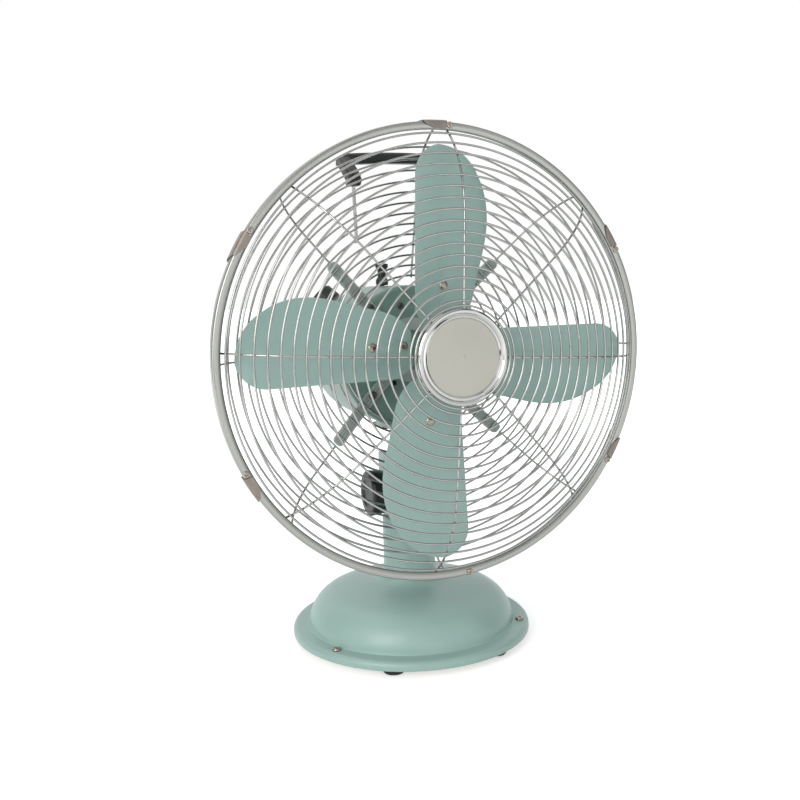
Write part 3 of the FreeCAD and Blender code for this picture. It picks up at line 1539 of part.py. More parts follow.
os.makedirs("parts", exist_ok=True)
for item in nodes:
    item.Shape.exportStep(os.path.join("parts", f"{item.Label}.step"))
    box = item.Shape.BoundBox
    print(f"{item.Label:16s} solids {len(item.Shape.Solids):2d} volume {item.Shape.Volume:10.1f}"
          f"  x {box.XMin:7.1f} {box.XMax:7.1f}  y {box.YMin:7.1f} {box.YMax:7.1f}"
          f"  z {box.ZMin:7.1f} {box.ZMax:7.1f}")
print(len(nodes), "nodes")
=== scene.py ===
# %% [markdown]
# # A twelve-inch metal desk fan
#
# The fan is a family of thin shells and wires: a pressed base, a tilting bracket, a motor
# housing that swings, four pressed blades and two welded wire guards held by a steel band.
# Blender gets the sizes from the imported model, which it loads as a fixed frame. Each moving
# body is an empty, and everything that is made here rides on one of them.

# %% Load the frame
import math

import bmesh
import bpy
from mathutils import Matrix, Vector


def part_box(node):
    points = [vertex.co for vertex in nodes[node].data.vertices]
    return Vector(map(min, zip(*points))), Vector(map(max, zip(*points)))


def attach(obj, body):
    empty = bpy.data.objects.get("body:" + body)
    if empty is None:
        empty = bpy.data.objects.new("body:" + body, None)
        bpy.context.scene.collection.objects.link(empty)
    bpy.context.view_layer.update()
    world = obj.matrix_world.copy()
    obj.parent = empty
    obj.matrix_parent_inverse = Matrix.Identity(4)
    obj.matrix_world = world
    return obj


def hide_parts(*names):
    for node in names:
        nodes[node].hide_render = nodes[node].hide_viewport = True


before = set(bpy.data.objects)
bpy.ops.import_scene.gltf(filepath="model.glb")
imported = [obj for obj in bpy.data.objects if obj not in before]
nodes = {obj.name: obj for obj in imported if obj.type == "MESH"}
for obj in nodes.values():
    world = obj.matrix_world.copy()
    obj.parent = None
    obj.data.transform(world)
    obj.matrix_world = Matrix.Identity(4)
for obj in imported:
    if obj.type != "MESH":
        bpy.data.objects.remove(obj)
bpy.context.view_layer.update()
scene = bpy.context.scene


# %% [markdown]
# Sizes are easiest to read in millimetres, and Blender works in metres. The head has one axis,
# a level line through the badge, and nearly everything on it is round about that line. So one
# small function turns a radius, an angle and a depth into a point, and it is used for rings,
# screws, clips and blades alike. Angles run from +X towards +Z, as seen from the front.

# %% Millimetres and the fan's axis
MM = 0.001
AXIS_HEIGHT = 238.5 * MM


def around_axis(radius, angle, depth):
    """The point at a radius and an angle in degrees round the fan's axis, in metres."""
    turn = math.radians(angle)
    return Vector((radius * math.cos(turn), depth, AXIS_HEIGHT + radius * math.sin(turn)))


print("fan axis at", AXIS_HEIGHT, "m")


# %% [markdown]
# The camera stands low and to the left, so that the fan seems to look past it. It is turned by
# a short list of angles and not by a constraint, because the other views move it. Its shift is
# small and only centres the picture.

# %% Camera
camera_data = bpy.data.cameras.new("Camera")
camera = bpy.data.objects.new("Camera", camera_data)
scene.collection.objects.link(camera)
camera_place = Vector((-0.2659, -0.7093, 0.2893))
camera_aim = Vector((0.0, 0.0, 0.22828))
look = (camera_aim - camera_place).to_track_quat("-Z", "Y").to_matrix().to_4x4()
roll = Matrix.Rotation(math.radians(-1.58), 4, "Z")
camera.matrix_world = Matrix.Translation(camera_place) @ look @ roll
camera_data.sensor_width = 36.0
camera_data.lens = 41.43
camera_data.shift_x = -0.005
camera_data.shift_y = -0.049
camera_data.clip_start = 0.01
scene.camera = camera
print("camera at", tuple(round(c, 3) for c in camera_place))


# %% [markdown]
# The studio is a white sweep with a large soft lamp high on the left, a weak low one in front and
# another overhead. A white world would also light the object, so the world is white only to the
# eye, to reflections and through glass, and a plain grey to everything else.

# %% Helpers for node trees
def linear(code):
    """A colour written as sRGB hex, such as "8FB0A5", as the linear RGBA that shaders use."""
    channels = [int(code[i:i + 2], 16) / 255 for i in (0, 2, 4)]
    return [c / 12.92 if c <= 0.04045 else ((c + 0.055) / 1.055) ** 2.4 for c in channels] + [1.0]


def add(tree, kind, feeds=None, **settings):
    """A new node with its settings; feeds gives each input a value or another node's output."""
    new = tree.nodes.new(kind)
    for name, value in settings.items():
        setattr(new, name, value)
    for socket, value in (feeds or {}).items():
        if isinstance(value, bpy.types.NodeSocket):
            tree.links.new(value, new.inputs[socket])
        else:
            new.inputs[socket].default_value = value
    return new


# %% World and lamps
world = bpy.data.worlds.new("Studio")
scene.world = world
world.use_nodes = True
sky = world.node_tree
sky.nodes.clear()
rays = add(sky, "ShaderNodeLightPath")
seen = add(sky, "ShaderNodeMath", {0: rays.outputs["Is Camera Ray"],
                                   1: rays.outputs["Is Glossy Ray"]}, operation="MAXIMUM")
shown = add(sky, "ShaderNodeMath", {0: seen.outputs[0],
                                    1: rays.outputs["Is Transmission Ray"]}, operation="MAXIMUM")
fill = add(sky, "ShaderNodeBackground", {"Color": linear("F2F5F6"), "Strength": 0.6})
white = add(sky, "ShaderNodeBackground", {"Color": (1, 1, 1, 1), "Strength": 1.0})
both = add(sky, "ShaderNodeMixShader", {0: shown.outputs[0], 1: fill.outputs[0],
                                        2: white.outputs[0]})
add(sky, "ShaderNodeOutputWorld", {"Surface": both.outputs[0]})

LAMPS = {
    "Key": ((-1.5, -1.2, 0.9), 1.1, 19.0),
    "Fill": ((0.1, -1.9, 0.15), 1.0, 4.0),
    "Top": ((-0.4, 0.3, 1.9), 1.3, 4.0),
}
for lamp_name, (place, side, watts) in LAMPS.items():
    lamp = bpy.data.lights.new(lamp_name, "AREA")
    lamp.shape = "SQUARE"
    lamp.size = side
    lamp.energy = watts
    holder = bpy.data.objects.new(lamp_name, lamp)
    scene.collection.objects.link(holder)
    aim = Vector((0.0, 0.0, 0.2)) - Vector(place)
    turned = aim.to_track_quat("-Z", "Y").to_matrix().to_4x4()
    holder.matrix_world = Matrix.Translation(place) @ turned
scene.view_settings.view_transform = "Standard"
print(len(LAMPS), "lamps")


# %% [markdown]
# Polished metal shows what stands round it, and in an all-white room it would look like paper.
# So, as in a real studio, dark boards stand round the fan and above it. Only reflections see
# them: they throw no shadow and the camera looks straight through them.

# %% Dark boards for the metal to reflect
board_paint = bpy.data.materials.new("Matt black studio board")
board_paint.use_nodes = True
board_paint.node_tree.nodes.clear()
flat_black = add(board_paint.node_tree, "ShaderNodeEmission", {"Color": linear("2A2C2D"),
                                                               "Strength": 1.0})
add(board_paint.node_tree, "ShaderNodeOutputMaterial", {"Surface": flat_black.outputs[0]})
BOARDS = {
    "board_right": ((1.35, -0.35, 0.5), (0.8, 1.9)),
    "board_left_back": ((-1.3, 0.75, 0.5), (0.9, 1.9)),
    "board_front": ((0.35, -1.9, 0.45), (0.3, 1.6)),
    "board_above": ((0.35, -0.75, 1.6), (1.5, 0.32)),
    "board_low": ((-0.5, -1.35, 0.02), (1.1, 0.22)),
}
for board_name, (place, (wide, tall)) in BOARDS.items():
    sheet = bmesh.new()
    bmesh.ops.create_grid(sheet, x_segments=1, y_segments=1, size=0.5)
    bmesh.ops.scale(sheet, vec=(wide, tall, 1.0), verts=sheet.verts)
    aim = Vector((0.0, -0.05, 0.24)) - Vector(place)
    facing_fan = aim.to_track_quat("Z", "Y").to_matrix().to_4x4()
    bmesh.ops.transform(sheet, matrix=Matrix.Translation(place) @ facing_fan, verts=sheet.verts)
    board_mesh = bpy.data.meshes.new(board_name)
    sheet.to_mesh(board_mesh)
    sheet.free()
    board_mesh.materials.append(board_paint)
    board = bpy.data.objects.new(board_name, board_mesh)
    scene.collection.objects.link(board)
    board.visible_camera = False
    board.visible_diffuse = False
    board.visible_shadow = False
    board.visible_transmission = False
print(len(BOARDS), "boards")


# %% [markdown]
# The floor is a broad white disc. Near the fan it is a plain white card that takes a shadow.
# Further out it hands over to a plain glow, so that it meets the white world with no horizon.

# %% Floor
floor_mesh = bpy.data.meshes.new("floor")
sweep = bmesh.new()
bmesh.ops.create_circle(sweep, cap_ends=True, segments=96, radius=14.0)
sweep.to_mesh(floor_mesh)
sweep.free()
floor = bpy.data.objects.new("floor", floor_mesh)
scene.collection.objects.link(floor)
card = bpy.data.materials.new("White studio card")
card.use_nodes = True
paper = card.node_tree
paper.nodes.clear()
where = add(paper, "ShaderNodeTexCoord")
reach = add(paper, "ShaderNodeVectorMath", {0: where.outputs["Object"]}, operation="LENGTH")
far = add(paper, "ShaderNodeMapRange", {"Value": reach.outputs["Value"], "From Min": 0.25,
                                        "From Max": 1.1, "To Min": 0.52, "To Max": 1.0})
path = add(paper, "ShaderNodeLightPath")
eye = add(paper, "ShaderNodeMath", {0: path.outputs["Is Camera Ray"],
                                    1: path.outputs["Is Glossy Ray"]}, operation="MAXIMUM")
strength = add(paper, "ShaderNodeMath", {0: far.outputs[0], 1: eye.outputs[0]},
               operation="MULTIPLY")
matt = add(paper, "ShaderNodeBsdfDiffuse", {"Color": linear("F2F2F2")})
glow = add(paper, "ShaderNodeEmission", {"Color": (1, 1, 1, 1), "Strength": strength.outputs[0]})
card_sum = add(paper, "ShaderNodeAddShader", {0: matt.outputs[0], 1: glow.outputs[0]})
add(paper, "ShaderNodeOutputMaterial", {"Surface": card_sum.outputs[0]})
floor_mesh.materials.append(card)
print("floor", floor_mesh.name)


# %% [markdown]
# ## Finishes
#
# A finish is a small tree. Every one has the same first three nodes: the place on the object, a
# noise for what the eye sees from afar, and a finer noise for what it feels close up. The first
# shifts the colour and the roughness a little, and the second is a bump of a few hundredths of a
# millimetre. Both are sized in millimetres, so a grain stays a grain on a large or a small piece.

# %% One recipe for coated and plated surfaces
def surface(name, light, dark, roughness, spread, patch_mm, grain_mm, bump_mm, metallic=0.0,
            lines=None, **shader_settings):
    """A material whose colour and roughness drift over patches and whose skin has a fine grain.
    lines is the stretch of the grain along X, Y and Z, for brushed and drawn metal."""
    material = bpy.data.materials.new(name)
    material.use_nodes = True
    tree = material.node_tree
    tree.nodes.clear()
    place = add(tree, "ShaderNodeTexCoord")
    patches = add(tree, "ShaderNodeTexNoise", {"Vector": place.outputs["Object"],
                                               "Scale": 1000 / patch_mm, "Detail": 3.0})
    stretched = add(tree, "ShaderNodeMapping", {"Vector": place.outputs["Object"],
                                                "Scale": lines or (1.0, 1.0, 1.0)})
    grain = add(tree, "ShaderNodeTexNoise", {"Vector": stretched.outputs[0],
                                             "Scale": 1000 / grain_mm, "Detail": 2.0})
    colour = add(tree, "ShaderNodeMix", {"Factor": patches.outputs["Fac"], "A": linear(dark),
                                         "B": linear(light)}, data_type="RGBA")
    sheen = add(tree, "ShaderNodeMapRange", {"Value": patches.outputs["Fac"],
                                             "From Min": 0.3, "From Max": 0.7,
                                             "To Min": roughness - spread,
                                             "To Max": roughness + spread})
    skin = add(tree, "ShaderNodeBump", {"Height": grain.outputs["Fac"], "Strength": 1.0,
                                        "Distance": bump_mm * MM})
    shader = add(tree, "ShaderNodeBsdfPrincipled", {"Base Color": colour.outputs["Result"],
                                                    "Roughness": sheen.outputs[0],
                                                    "Metallic": metallic,
                                                    "Normal": skin.outputs[0]})
    for socket, value in shader_settings.items():
        shader.inputs[socket.replace("_", " ")].default_value = value
    add(tree, "ShaderNodeOutputMaterial", {"Surface": shader.outputs[0]})
    return material


# Powder coat over pressed sheet: one even colour, a soft sheen and a faint orange peel.
MINT = surface("Mint powder coat", "9DBAB3", "94B1A9", 0.38, 0.04, 30, 0.7, 0.012,
               Coat_Weight=0.12, Coat_Roughness=0.3)
# The same coat a shade deeper: painted shade for the housing, its cover and the hub, which sit in
# shade behind the blades.
SHADED_MINT = surface("Mint powder coat with painted shade", "7F9C91", "75928A", 0.4, 0.04, 30, 0.7, 0.012,
               Coat_Weight=0.1, Coat_Roughness=0.3)
# Steel wire plated with bright nickel: a thin bright line between two dark edges.
WIRE = surface("Nickel-plated drawn wire", "AAABA8", "949592", 0.14, 0.04, 12, 0.35, 0.004,
               metallic=1.0)
# Rolled stainless strip, brushed along its length, so that reflections smear across it.
BAND = surface("Satin stainless strip", "A0A19D", "949590", 0.3, 0.04, 25, 0.3, 0.006,
               metallic=1.0, lines=(0.12, 3.0, 0.12))
# Spring steel browned by heat: part metal and part oxide, so it is duller than the band.
CLIP = surface("Bronzed spring steel", "968D84", "776F67", 0.42, 0.06, 6, 0.4, 0.006,
               metallic=0.45)
# Polished chrome: it mirrors the room, and has hardly any grain of its own.
CHROME = surface("Polished chrome plate", "B6B7B4", "A9AAA7", 0.1, 0.02, 20, 0.4, 0.002,
                 metallic=1.0)
# Spun aluminium under a satin lacquer: a pale, slightly warm face with no sharp highlight.
BADGE = surface("Spun satin aluminium", "B2B0A7", "A9A79E", 0.46, 0.03, 18, 0.25, 0.005,
                metallic=0.6)
# Zinc plate on screws and rivets: bright, with the warm tint that passivation leaves.
ZINC = surface("Zinc-plated steel", "AAA396", "8C857B", 0.25, 0.07, 4, 0.3, 0.006, metallic=1.0)
# The same plate painted darker, as painted shade, for the screws behind the blades.
SHADED_ZINC = surface("Zinc plate with painted shade", "6E716B", "565953", 0.4, 0.07, 4, 0.3, 0.006, metallic=0.9)
# Stoved enamel on a casting: a grey, matt skin with a coarse, hammered bump.
ENAMEL = surface("Grey hammered enamel", "BFC7C3", "B0B8B4", 0.4, 0.06, 5, 1.2, 0.03)
# Moulded ABS: nearly black, with a fine mould texture that spreads its highlights.
BLACK = surface("Moulded black ABS", "141516", "0E0F10", 0.42, 0.06, 14, 0.25, 0.01)
# Rubber: black, and too rough to shine.
RUBBER = surface("Moulded rubber", "1B1C1C", "131414", 0.7, 0.06, 10, 0.3, 0.02)
# Iron cast in sand: dark grey, with the coarse grain that the mould leaves.
IRON = surface("Sand-cast iron", "4A4A4A", "333436", 0.75, 0.08, 8, 0.9, 0.12, metallic=0.4)
# Die-cast alloy: pale satin grey, with a fine unevenness from the flow of the metal.
ALLOY = surface("Die-cast aluminium alloy", "A9ABAB", "989A9B", 0.45, 0.07, 9, 0.6, 0.03,
                metallic=0.9)
# Stamped sheets in a stack: grey steel with fine lines where they lie together.
LAMINATE = surface("Stacked electrical steel", "7D8084", "5C5F63", 0.5, 0.08, 4, 0.5, 0.05,
                   metallic=0.8, lines=(0.2, 3.0, 0.2))
# Varnished copper wire: orange metal under a clear coat, in fine turns.
COPPER = surface("Varnished copper windings", "B4703A", "8F5026", 0.3, 0.06, 3, 0.5, 0.08,
                 metallic=0.6, lines=(1.0, 0.2, 1.0))
# Sintered bronze soaked with oil: brown gold, with a low sheen.
BRONZE = surface("Oil-soaked sintered bronze", "A88A55", "8E7244", 0.42, 0.08, 3, 0.3, 0.03,
                 metallic=0.9)
# Nylon without pigment: milky off-white, and a little waxy.
NYLON = surface("Natural nylon", "E4DFCF", "D6D0BE", 0.45, 0.05, 12, 0.4, 0.01)
print(len(bpy.data.materials), "finishes")


# %% [markdown]
# ## Which node gets which finish
#
# The frame's own pieces keep their meshes. Only their material slots are filled here.

# %% Dress the frame's nodes
# The housing, its cover, the cradle and the hub take the darker mint, which paints their shade into
# the colour.
FINISHES = {
    "base_shell": MINT, "neck_lug": MINT, "tilt_bracket": MINT, "motor_cradle": SHADED_MINT,
    "rear_housing": SHADED_MINT, "front_cover": SHADED_MINT, "blade_1": MINT, "blade_2": MINT,
    "blade_3": MINT, "blade_4": MINT,
    "rear_guard": WIRE, "front_guard": WIRE, "guard_band": BAND, "badge_rim": CHROME,
    "badge_disc": BADGE, "clip_1": CLIP, "clip_2": CLIP, "clip_3": CLIP, "clip_4": CLIP,
    "clip_5": CLIP, "handle_straps": WIRE, "handle_grip": BLACK, "handle_bolts": ZINC,
    "guard_spider": ENAMEL, "tilt_knob": BLACK, "osc_knob": BLACK, "speed_knob": BLACK,
    "cord_gland": BLACK, "speed_switch": BLACK, "rubber_feet": RUBBER,
    "ballast_weight": IRON, "front_bracket": ALLOY, "rear_bracket": ALLOY, "blade_hub": SHADED_MINT,
    "stator_core": LAMINATE, "rotor_core": LAMINATE, "stator_coils": COPPER,
    "pivot_bush": BRONZE, "bearings": BRONZE, "terminal_block": NYLON, "capacitor": NYLON,
    "gearbox_case": NYLON, "worm_wheel": NYLON, "crank_gear": NYLON,
}
for name, obj in nodes.items():
    obj.data.materials.clear()
    obj.data.materials.append(FINISHES.get(name, ZINC))
print(len(FINISHES), "nodes named,", len(nodes) - len(FINISHES), "in zinc plate")


# %% [markdown]
# ## The wire guards
#
# Each guard is drawn wire, spot-welded where a ring crosses a spoke. It follows one rule: a side
# view that is straight and then an arc, spokes that are that line turned round the axis, and
# rings every eight millimetres that lie against it. Copying rings by hand would work, but
# Geometry Nodes keeps the rule itself. The modifier's own mesh is only a plan: an edge chain for
# one spoke, and a loose point for each ring with its radius stored on it.

# %% The side view of a guard
WIRE_RADIUS = 0.8
RIM_WIRE_RADIUS = 1.3
WELD_DEPTH = 0.2
WIRE_SIDES = 12
RING_STEPS = 168
RING_PITCH = 8
STRAIGHT_STEPS = 8
ARC_STEPS = 24


def side_view(start, bend, slope, rim):
    """A guard's side view as (radius, depth) in millimetres: straight to the bend, then an arc.
    Returns its points from a radius outwards, and its place and outward direction at a radius."""
    run = Vector((1.0, slope)).normalized()
    knee = Vector((bend, start[1] + slope * (bend - start[0])))
    chord = Vector(rim) - knee
    side = Vector((-run.y, run.x))
    if side.dot(chord) < 0:
        side.negate()
    radius = chord.dot(chord) / (2 * chord.dot(side))
    centre = knee + side * radius
    sweep = (knee - centre).angle_signed(Vector(rim) - centre)

    def points_from(inner):
        straight = [Vector((r, start[1] + slope * (r - start[0])))
                    for r in (inner + (bend - inner) * step / STRAIGHT_STEPS
                              for step in range(STRAIGHT_STEPS + 1))]
        spoke = knee - centre
        arc = []
        for step in range(1, ARC_STEPS + 1):
            turn = -sweep * step / ARC_STEPS
            arc.append(centre + Vector((spoke.x * math.cos(turn) - spoke.y * math.sin(turn),
                                        spoke.x * math.sin(turn) + spoke.y * math.cos(turn))))
        return straight + arc

    def at(r):
        if r <= bend:
            return Vector((r, start[1] + slope * (r - start[0]))), -side
        rise = math.sqrt(radius ** 2 - (r - centre.x) ** 2)
        point = Vector((r, centre.y - math.copysign(rise, side.y)))
        return point, (point - centre).normalized()

    return points_from, at


def cage_plan(name, spoke_points, rings):
    """A mesh with one spoke as an edge chain and one loose point for each (radius, depth) ring."""
    mesh = bpy.data.meshes.new(name)
    chain = [(p.x * MM, p.y * MM, 0.0) for p in spoke_points]
    spots = [(0.0, depth * MM, 0.0) for radius, depth in rings]
    edges = [(i, i + 1) for i in range(len(chain) - 1)]
    mesh.from_pydata(chain + spots, edges, [])
    sizes = mesh.attributes.new("ring_radius", "FLOAT", "POINT")
    for index, (radius, depth) in enumerate(rings):
        sizes.data[len(chain) + index].value = radius * MM
    plan = bpy.data.objects.new(name, mesh)
    scene.collection.objects.link(plan)
    return plan


# %% The tree that draws rings and spokes
def tree_with(name, inputs):
    """A Geometry Nodes tree with named inputs, its group nodes, and a map of input identifiers."""
    tree = bpy.data.node_groups.new(name, "GeometryNodeTree")
    tree.interface.new_socket("Geometry", in_out="INPUT", socket_type="NodeSocketGeometry")
    keys = {}
    for label, kind in inputs.items():
        keys[label] = tree.interface.new_socket(label, in_out="INPUT", socket_type=kind).identifier
    tree.interface.new_socket("Geometry", in_out="OUTPUT", socket_type="NodeSocketGeometry")
    return tree, add(tree, "NodeGroupInput"), add(tree, "NodeGroupOutput"), keys


cage_tree, cage_in, cage_out, cage_keys = tree_with("Wire cage", {
    "Wire radius": "NodeSocketFloat", "Wire sides": "NodeSocketInt",
    "Ring steps": "NodeSocketInt", "Spokes": "NodeSocketInt", "First spoke": "NodeSocketFloat",
    "Axis height": "NodeSocketFloat", "Finish": "NodeSocketMaterial"})
ring_size = add(cage_tree, "GeometryNodeInputNamedAttribute", {"Name": "ring_radius"},
                data_type="FLOAT")
is_ring = add(cage_tree, "FunctionNodeCompare", {"A": ring_size.outputs["Attribute"], "B": 0.0},
              data_type="FLOAT", operation="GREATER_THAN")
parted = add(cage_tree, "GeometryNodeSeparateGeometry",
             {"Geometry": cage_in.outputs["Geometry"], "Selection": is_ring.outputs["Result"]})
circle = add(cage_tree, "GeometryNodeCurvePrimitiveCircle",
             {"Resolution": cage_in.outputs["Ring steps"], "Radius": 1.0})
rings = add(cage_tree, "GeometryNodeInstanceOnPoints",
            {"Points": parted.outputs["Selection"], "Instance": circle.outputs["Curve"],
             "Rotation": (math.pi / 2, 0.0, 0.0), "Scale": ring_size.outputs["Attribute"]})
one_spoke = add(cage_tree, "GeometryNodeMeshToCurve", {"Mesh": parted.outputs["Inverted"]})
posts = add(cage_tree, "GeometryNodePoints", {"Count": cage_in.outputs["Spokes"]})
number = add(cage_tree, "GeometryNodeInputIndex")
share = add(cage_tree, "ShaderNodeMath", {0: -2 * math.pi, 1: cage_in.outputs["Spokes"]},
            operation="DIVIDE")
turn = add(cage_tree, "ShaderNodeMath", {0: number.outputs[0], 1: share.outputs[0],
                                         2: cage_in.outputs["First spoke"]},
           operation="MULTIPLY_ADD")
about_y = add(cage_tree, "ShaderNodeCombineXYZ", {"Y": turn.outputs[0]})
spokes = add(cage_tree, "GeometryNodeInstanceOnPoints",
             {"Points": posts.outputs[0], "Instance": one_spoke.outputs[0],
              "Rotation": about_y.outputs[0]})
lines = add(cage_tree, "GeometryNodeJoinGeometry")
cage_tree.links.new(rings.outputs[0], lines.inputs[0])
cage_tree.links.new(spokes.outputs[0], lines.inputs[0])
real_lines = add(cage_tree, "GeometryNodeRealizeInstances", {"Geometry": lines.outputs[0]})
even = add(cage_tree, "GeometryNodeSetCurveRadius", {"Curve": real_lines.outputs[0],
                                                     "Radius": 1.0})
section = add(cage_tree, "GeometryNodeCurvePrimitiveCircle",
              {"Resolution": cage_in.outputs["Wire sides"],
               "Radius": cage_in.outputs["Wire radius"]})
drawn = add(cage_tree, "GeometryNodeCurveToMesh",
            {"Curve": even.outputs[0], "Profile Curve": section.outputs[0], "Fill Caps": True})
smooth = add(cage_tree, "GeometryNodeSetShadeSmooth", {"Geometry": drawn.outputs[0]})
lift = add(cage_tree, "ShaderNodeCombineXYZ", {"Z": cage_in.outputs["Axis height"]})
raised = add(cage_tree, "GeometryNodeTransform", {"Geometry": smooth.outputs[0],
                                                  "Translation": lift.outputs[0]})
solid = add(cage_tree, "GeometryNodeRealizeInstances", {"Geometry": raised.outputs[0]})
dressed = add(cage_tree, "GeometryNodeSetMaterial", {"Geometry": solid.outputs[0],
                                                     "Material": cage_in.outputs["Finish"]})
cage_tree.links.new(dressed.outputs[0], cage_out.inputs[0])
print("wire cage tree:", len(cage_tree.nodes), "nodes")


# %% Helpers that run a tree and keep its mesh
def run_tree(obj, tree, keys, values):
    """Puts a tree on an object with its inputs set, and keeps the result as a plain mesh."""
    modifier = obj.modifiers.new(tree.name, "NODES")
    modifier.node_group = tree
    for label, value in values.items():
        modifier[keys[label]] = value
    graph = bpy.context.evaluated_depsgraph_get()
    mesh = bpy.data.meshes.new_from_object(obj.evaluated_get(graph))
    obj.modifiers.clear()
    obj.data = mesh
    return obj


def joined(name, pieces):
    """One mesh made of several objects' meshes, in the same place; the pieces are removed."""
    whole = bmesh.new()
    for piece in pieces:
        whole.from_mesh(piece.data)
        bpy.data.objects.remove(piece)
    mesh = bpy.data.meshes.new(name)
    whole.to_mesh(mesh)
    whole.free()
    return mesh


def cage(name, plans, finish):
    """A guard from its plans, each (spoke points, rings, wire radius, spokes, first spoke)."""
    pieces = []
    for spoke_points, ring_list, wire, count, first in plans:
        plan = cage_plan(name + "_plan", spoke_points, ring_list)
        values = {"Wire radius": wire * MM, "Wire sides": WIRE_SIDES, "Ring steps": RING_STEPS,
                  "Spokes": count, "First spoke": math.radians(-first),
                  "Axis height": AXIS_HEIGHT, "Finish": finish}
        pieces.append(run_tree(plan, cage_tree, cage_keys, values))
    mesh = joined(name, pieces)
    mesh.materials.append(finish)
    guard = bpy.data.objects.new(name, mesh)
    scene.collection.objects.link(guard)
    print(name, len(mesh.polygons), "faces")
    return guard


# %% The front guard
FRONT_START = (30.3, -118.4)
FRONT_BEND, FRONT_SLOPE = 100.0, 0.052
FRONT_RIM = (165.4, -79.5)
FRONT_SPOKE_END = 163.9
FRONT_TURN = -3.1
BADGE_RING, FIRST_FRONT_RING, LAST_FRONT_RING = 36.4, 40, 160
front_points, front_at = side_view(FRONT_START, FRONT_BEND, FRONT_SLOPE,
                                   (FRONT_SPOKE_END, FRONT_RIM[1]))


def resting(at, radii, way):
    """The (radius, depth) of rings that lie against a side view, on its outer or inner side."""
    found = []
    for radius in radii:
        point, outwards = at(radius)
        found.append(tuple(point + outwards * way * (2 * WIRE_RADIUS - WELD_DEPTH)))
    return found


front_radii = [BADGE_RING] + list(range(FIRST_FRONT_RING, LAST_FRONT_RING + 1, RING_PITCH))
front_rings = resting(front_at, front_radii, 1)
front_cage = cage("front_cage", [
    (front_points(FRONT_START[0]), front_rings, WIRE_RADIUS, 8, FRONT_TURN),
    ([], [FRONT_RIM], RIM_WIRE_RADIUS, 0, 0.0),
], WIRE)

# %% [markdown]
# The rear guard starts further out, because the motor fills its middle. Its four upright and
# level spokes reach the first ring, and the four slanting ones stop at the ends of the grey arms.

# %% The rear guard
REAR_START = (58.0, -21.29)
REAR_BEND, REAR_SLOPE = 126.0, -0.255
REAR_RIM = (166.9, -75.1)
REAR_SPOKE_END = 165.6
SPIDER_ARM_END = 99.0
FIRST_REAR_RING, LAST_REAR_RING = 60, 156
rear_points, rear_at = side_view(REAR_START, REAR_BEND, REAR_SLOPE, (REAR_SPOKE_END, REAR_RIM[1]))
rear_rings = resting(rear_at, list(range(FIRST_REAR_RING, LAST_REAR_RING + 1, RING_PITCH)), -1)
rear_cage = cage("rear_cage", [
    (rear_points(REAR_START[0]), rear_rings, WIRE_RADIUS, 4, 0.0),
    (rear_points(SPIDER_ARM_END), [], WIRE_RADIUS, 4, 45.0),
    ([], [REAR_RIM], RIM_WIRE_RADIUS, 0, 0.0),
], WIRE)


# %% Put the guards in the frame
for guard, node_name in ((front_cage, "front_guard"), (rear_cage, "rear_guard")):
    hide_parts(node_name)
    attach(guard, "head")


# %% [markdown]
# ## Screws, rivets and feet
#
# A pan-head screw has a low dome with a cross sunk in it, and a rivet has a plain button head.
# Each kind is modelled once, as rings of points round its own axis, with the cross pushed down
# where the points fall inside it. A tree then sets a copy on every vertex of a plan and turns it
# the way that vertex's stored direction points, which is quicker than placing screws by hand.
# The six rubber feet under the base are set the same way.

# %% One turned form, and a screw's head
def turned_form(name, profile, steps=48, dent=None):
    """A closed mesh turned about Z from (radius, height) points, in millimetres, foot to top.
    dent gives how far a point at (x, y) sinks, and is asked only above the widest ring."""
    form = bmesh.new()
    loops = []
    widest = max(range(len(profile)), key=lambda i: profile[i][0])
    for index, (radius, height) in enumerate(profile):
        if radius == 0.0:
            drop = dent(0.0, 0.0) if dent and index > widest else 0.0
            loops.append([form.verts.new((0.0, 0.0, (height - drop) * MM))])
            continue
        loop = []
        for step in range(steps):
            turn = 2 * math.pi * step / steps
            x, y = radius * math.cos(turn), radius * math.sin(turn)
            drop = dent(x, y) if dent and index > widest else 0.0
            loop.append(form.verts.new((x * MM, y * MM, (height - drop) * MM)))
        loops.append(loop)
    for low, high in zip(loops, loops[1:]):
        for step in range(steps):
            after = (step + 1) % steps
            if len(low) == 1:
                form.faces.new((low[0], high[after], high[step]))
            elif len(high) == 1:
                form.faces.new((low[step], low[after], high[0]))
            else:
                form.faces.new((low[step], low[after], high[after], high[step]))
    bmesh.ops.recalc_face_normals(form, faces=form.faces)
    for face in form.faces:
        face.smooth = True
    mesh = bpy.data.meshes.new(name)
    form.to_mesh(mesh)
    form.free()
    return mesh


def cross_recess(reach, half_width, depth):
    """How far a point sinks into a cross of that reach and half width."""
    def sink(x, y):
        along, across = max(abs(x), abs(y)), min(abs(x), abs(y))
        wall = min(1.0, max(0.0, (half_width - across) / (0.35 * half_width)))
        end = min(1.0, max(0.0, (reach - along) / (0.45 * reach)))
        return depth * wall * end
    return sink


def pan_head(name, head_radius, head_height, shank_radius, length):
    """A pan-head screw with a cross recess, its seat at the origin and its shank below."""
    dome = [(head_radius, head_height * 0.35), (head_radius * 0.93, head_height * 0.68)]
    for step in range(11):
        radius = head_radius * 0.84 * (1 - step / 11)
        dome.append((radius, head_height * (1 - 0.22 * (radius / (head_radius * 0.84)) ** 2)))
    profile = [(0.0, -length), (shank_radius, -length), (shank_radius, 0.0),
               (head_radius * 0.97, 0.0)] + dome + [(0.0, head_height)]
    sink = cross_recess(head_radius * 0.6, head_radius * 0.17, head_height * 0.62)
    return turned_form(name, profile, 64, sink)


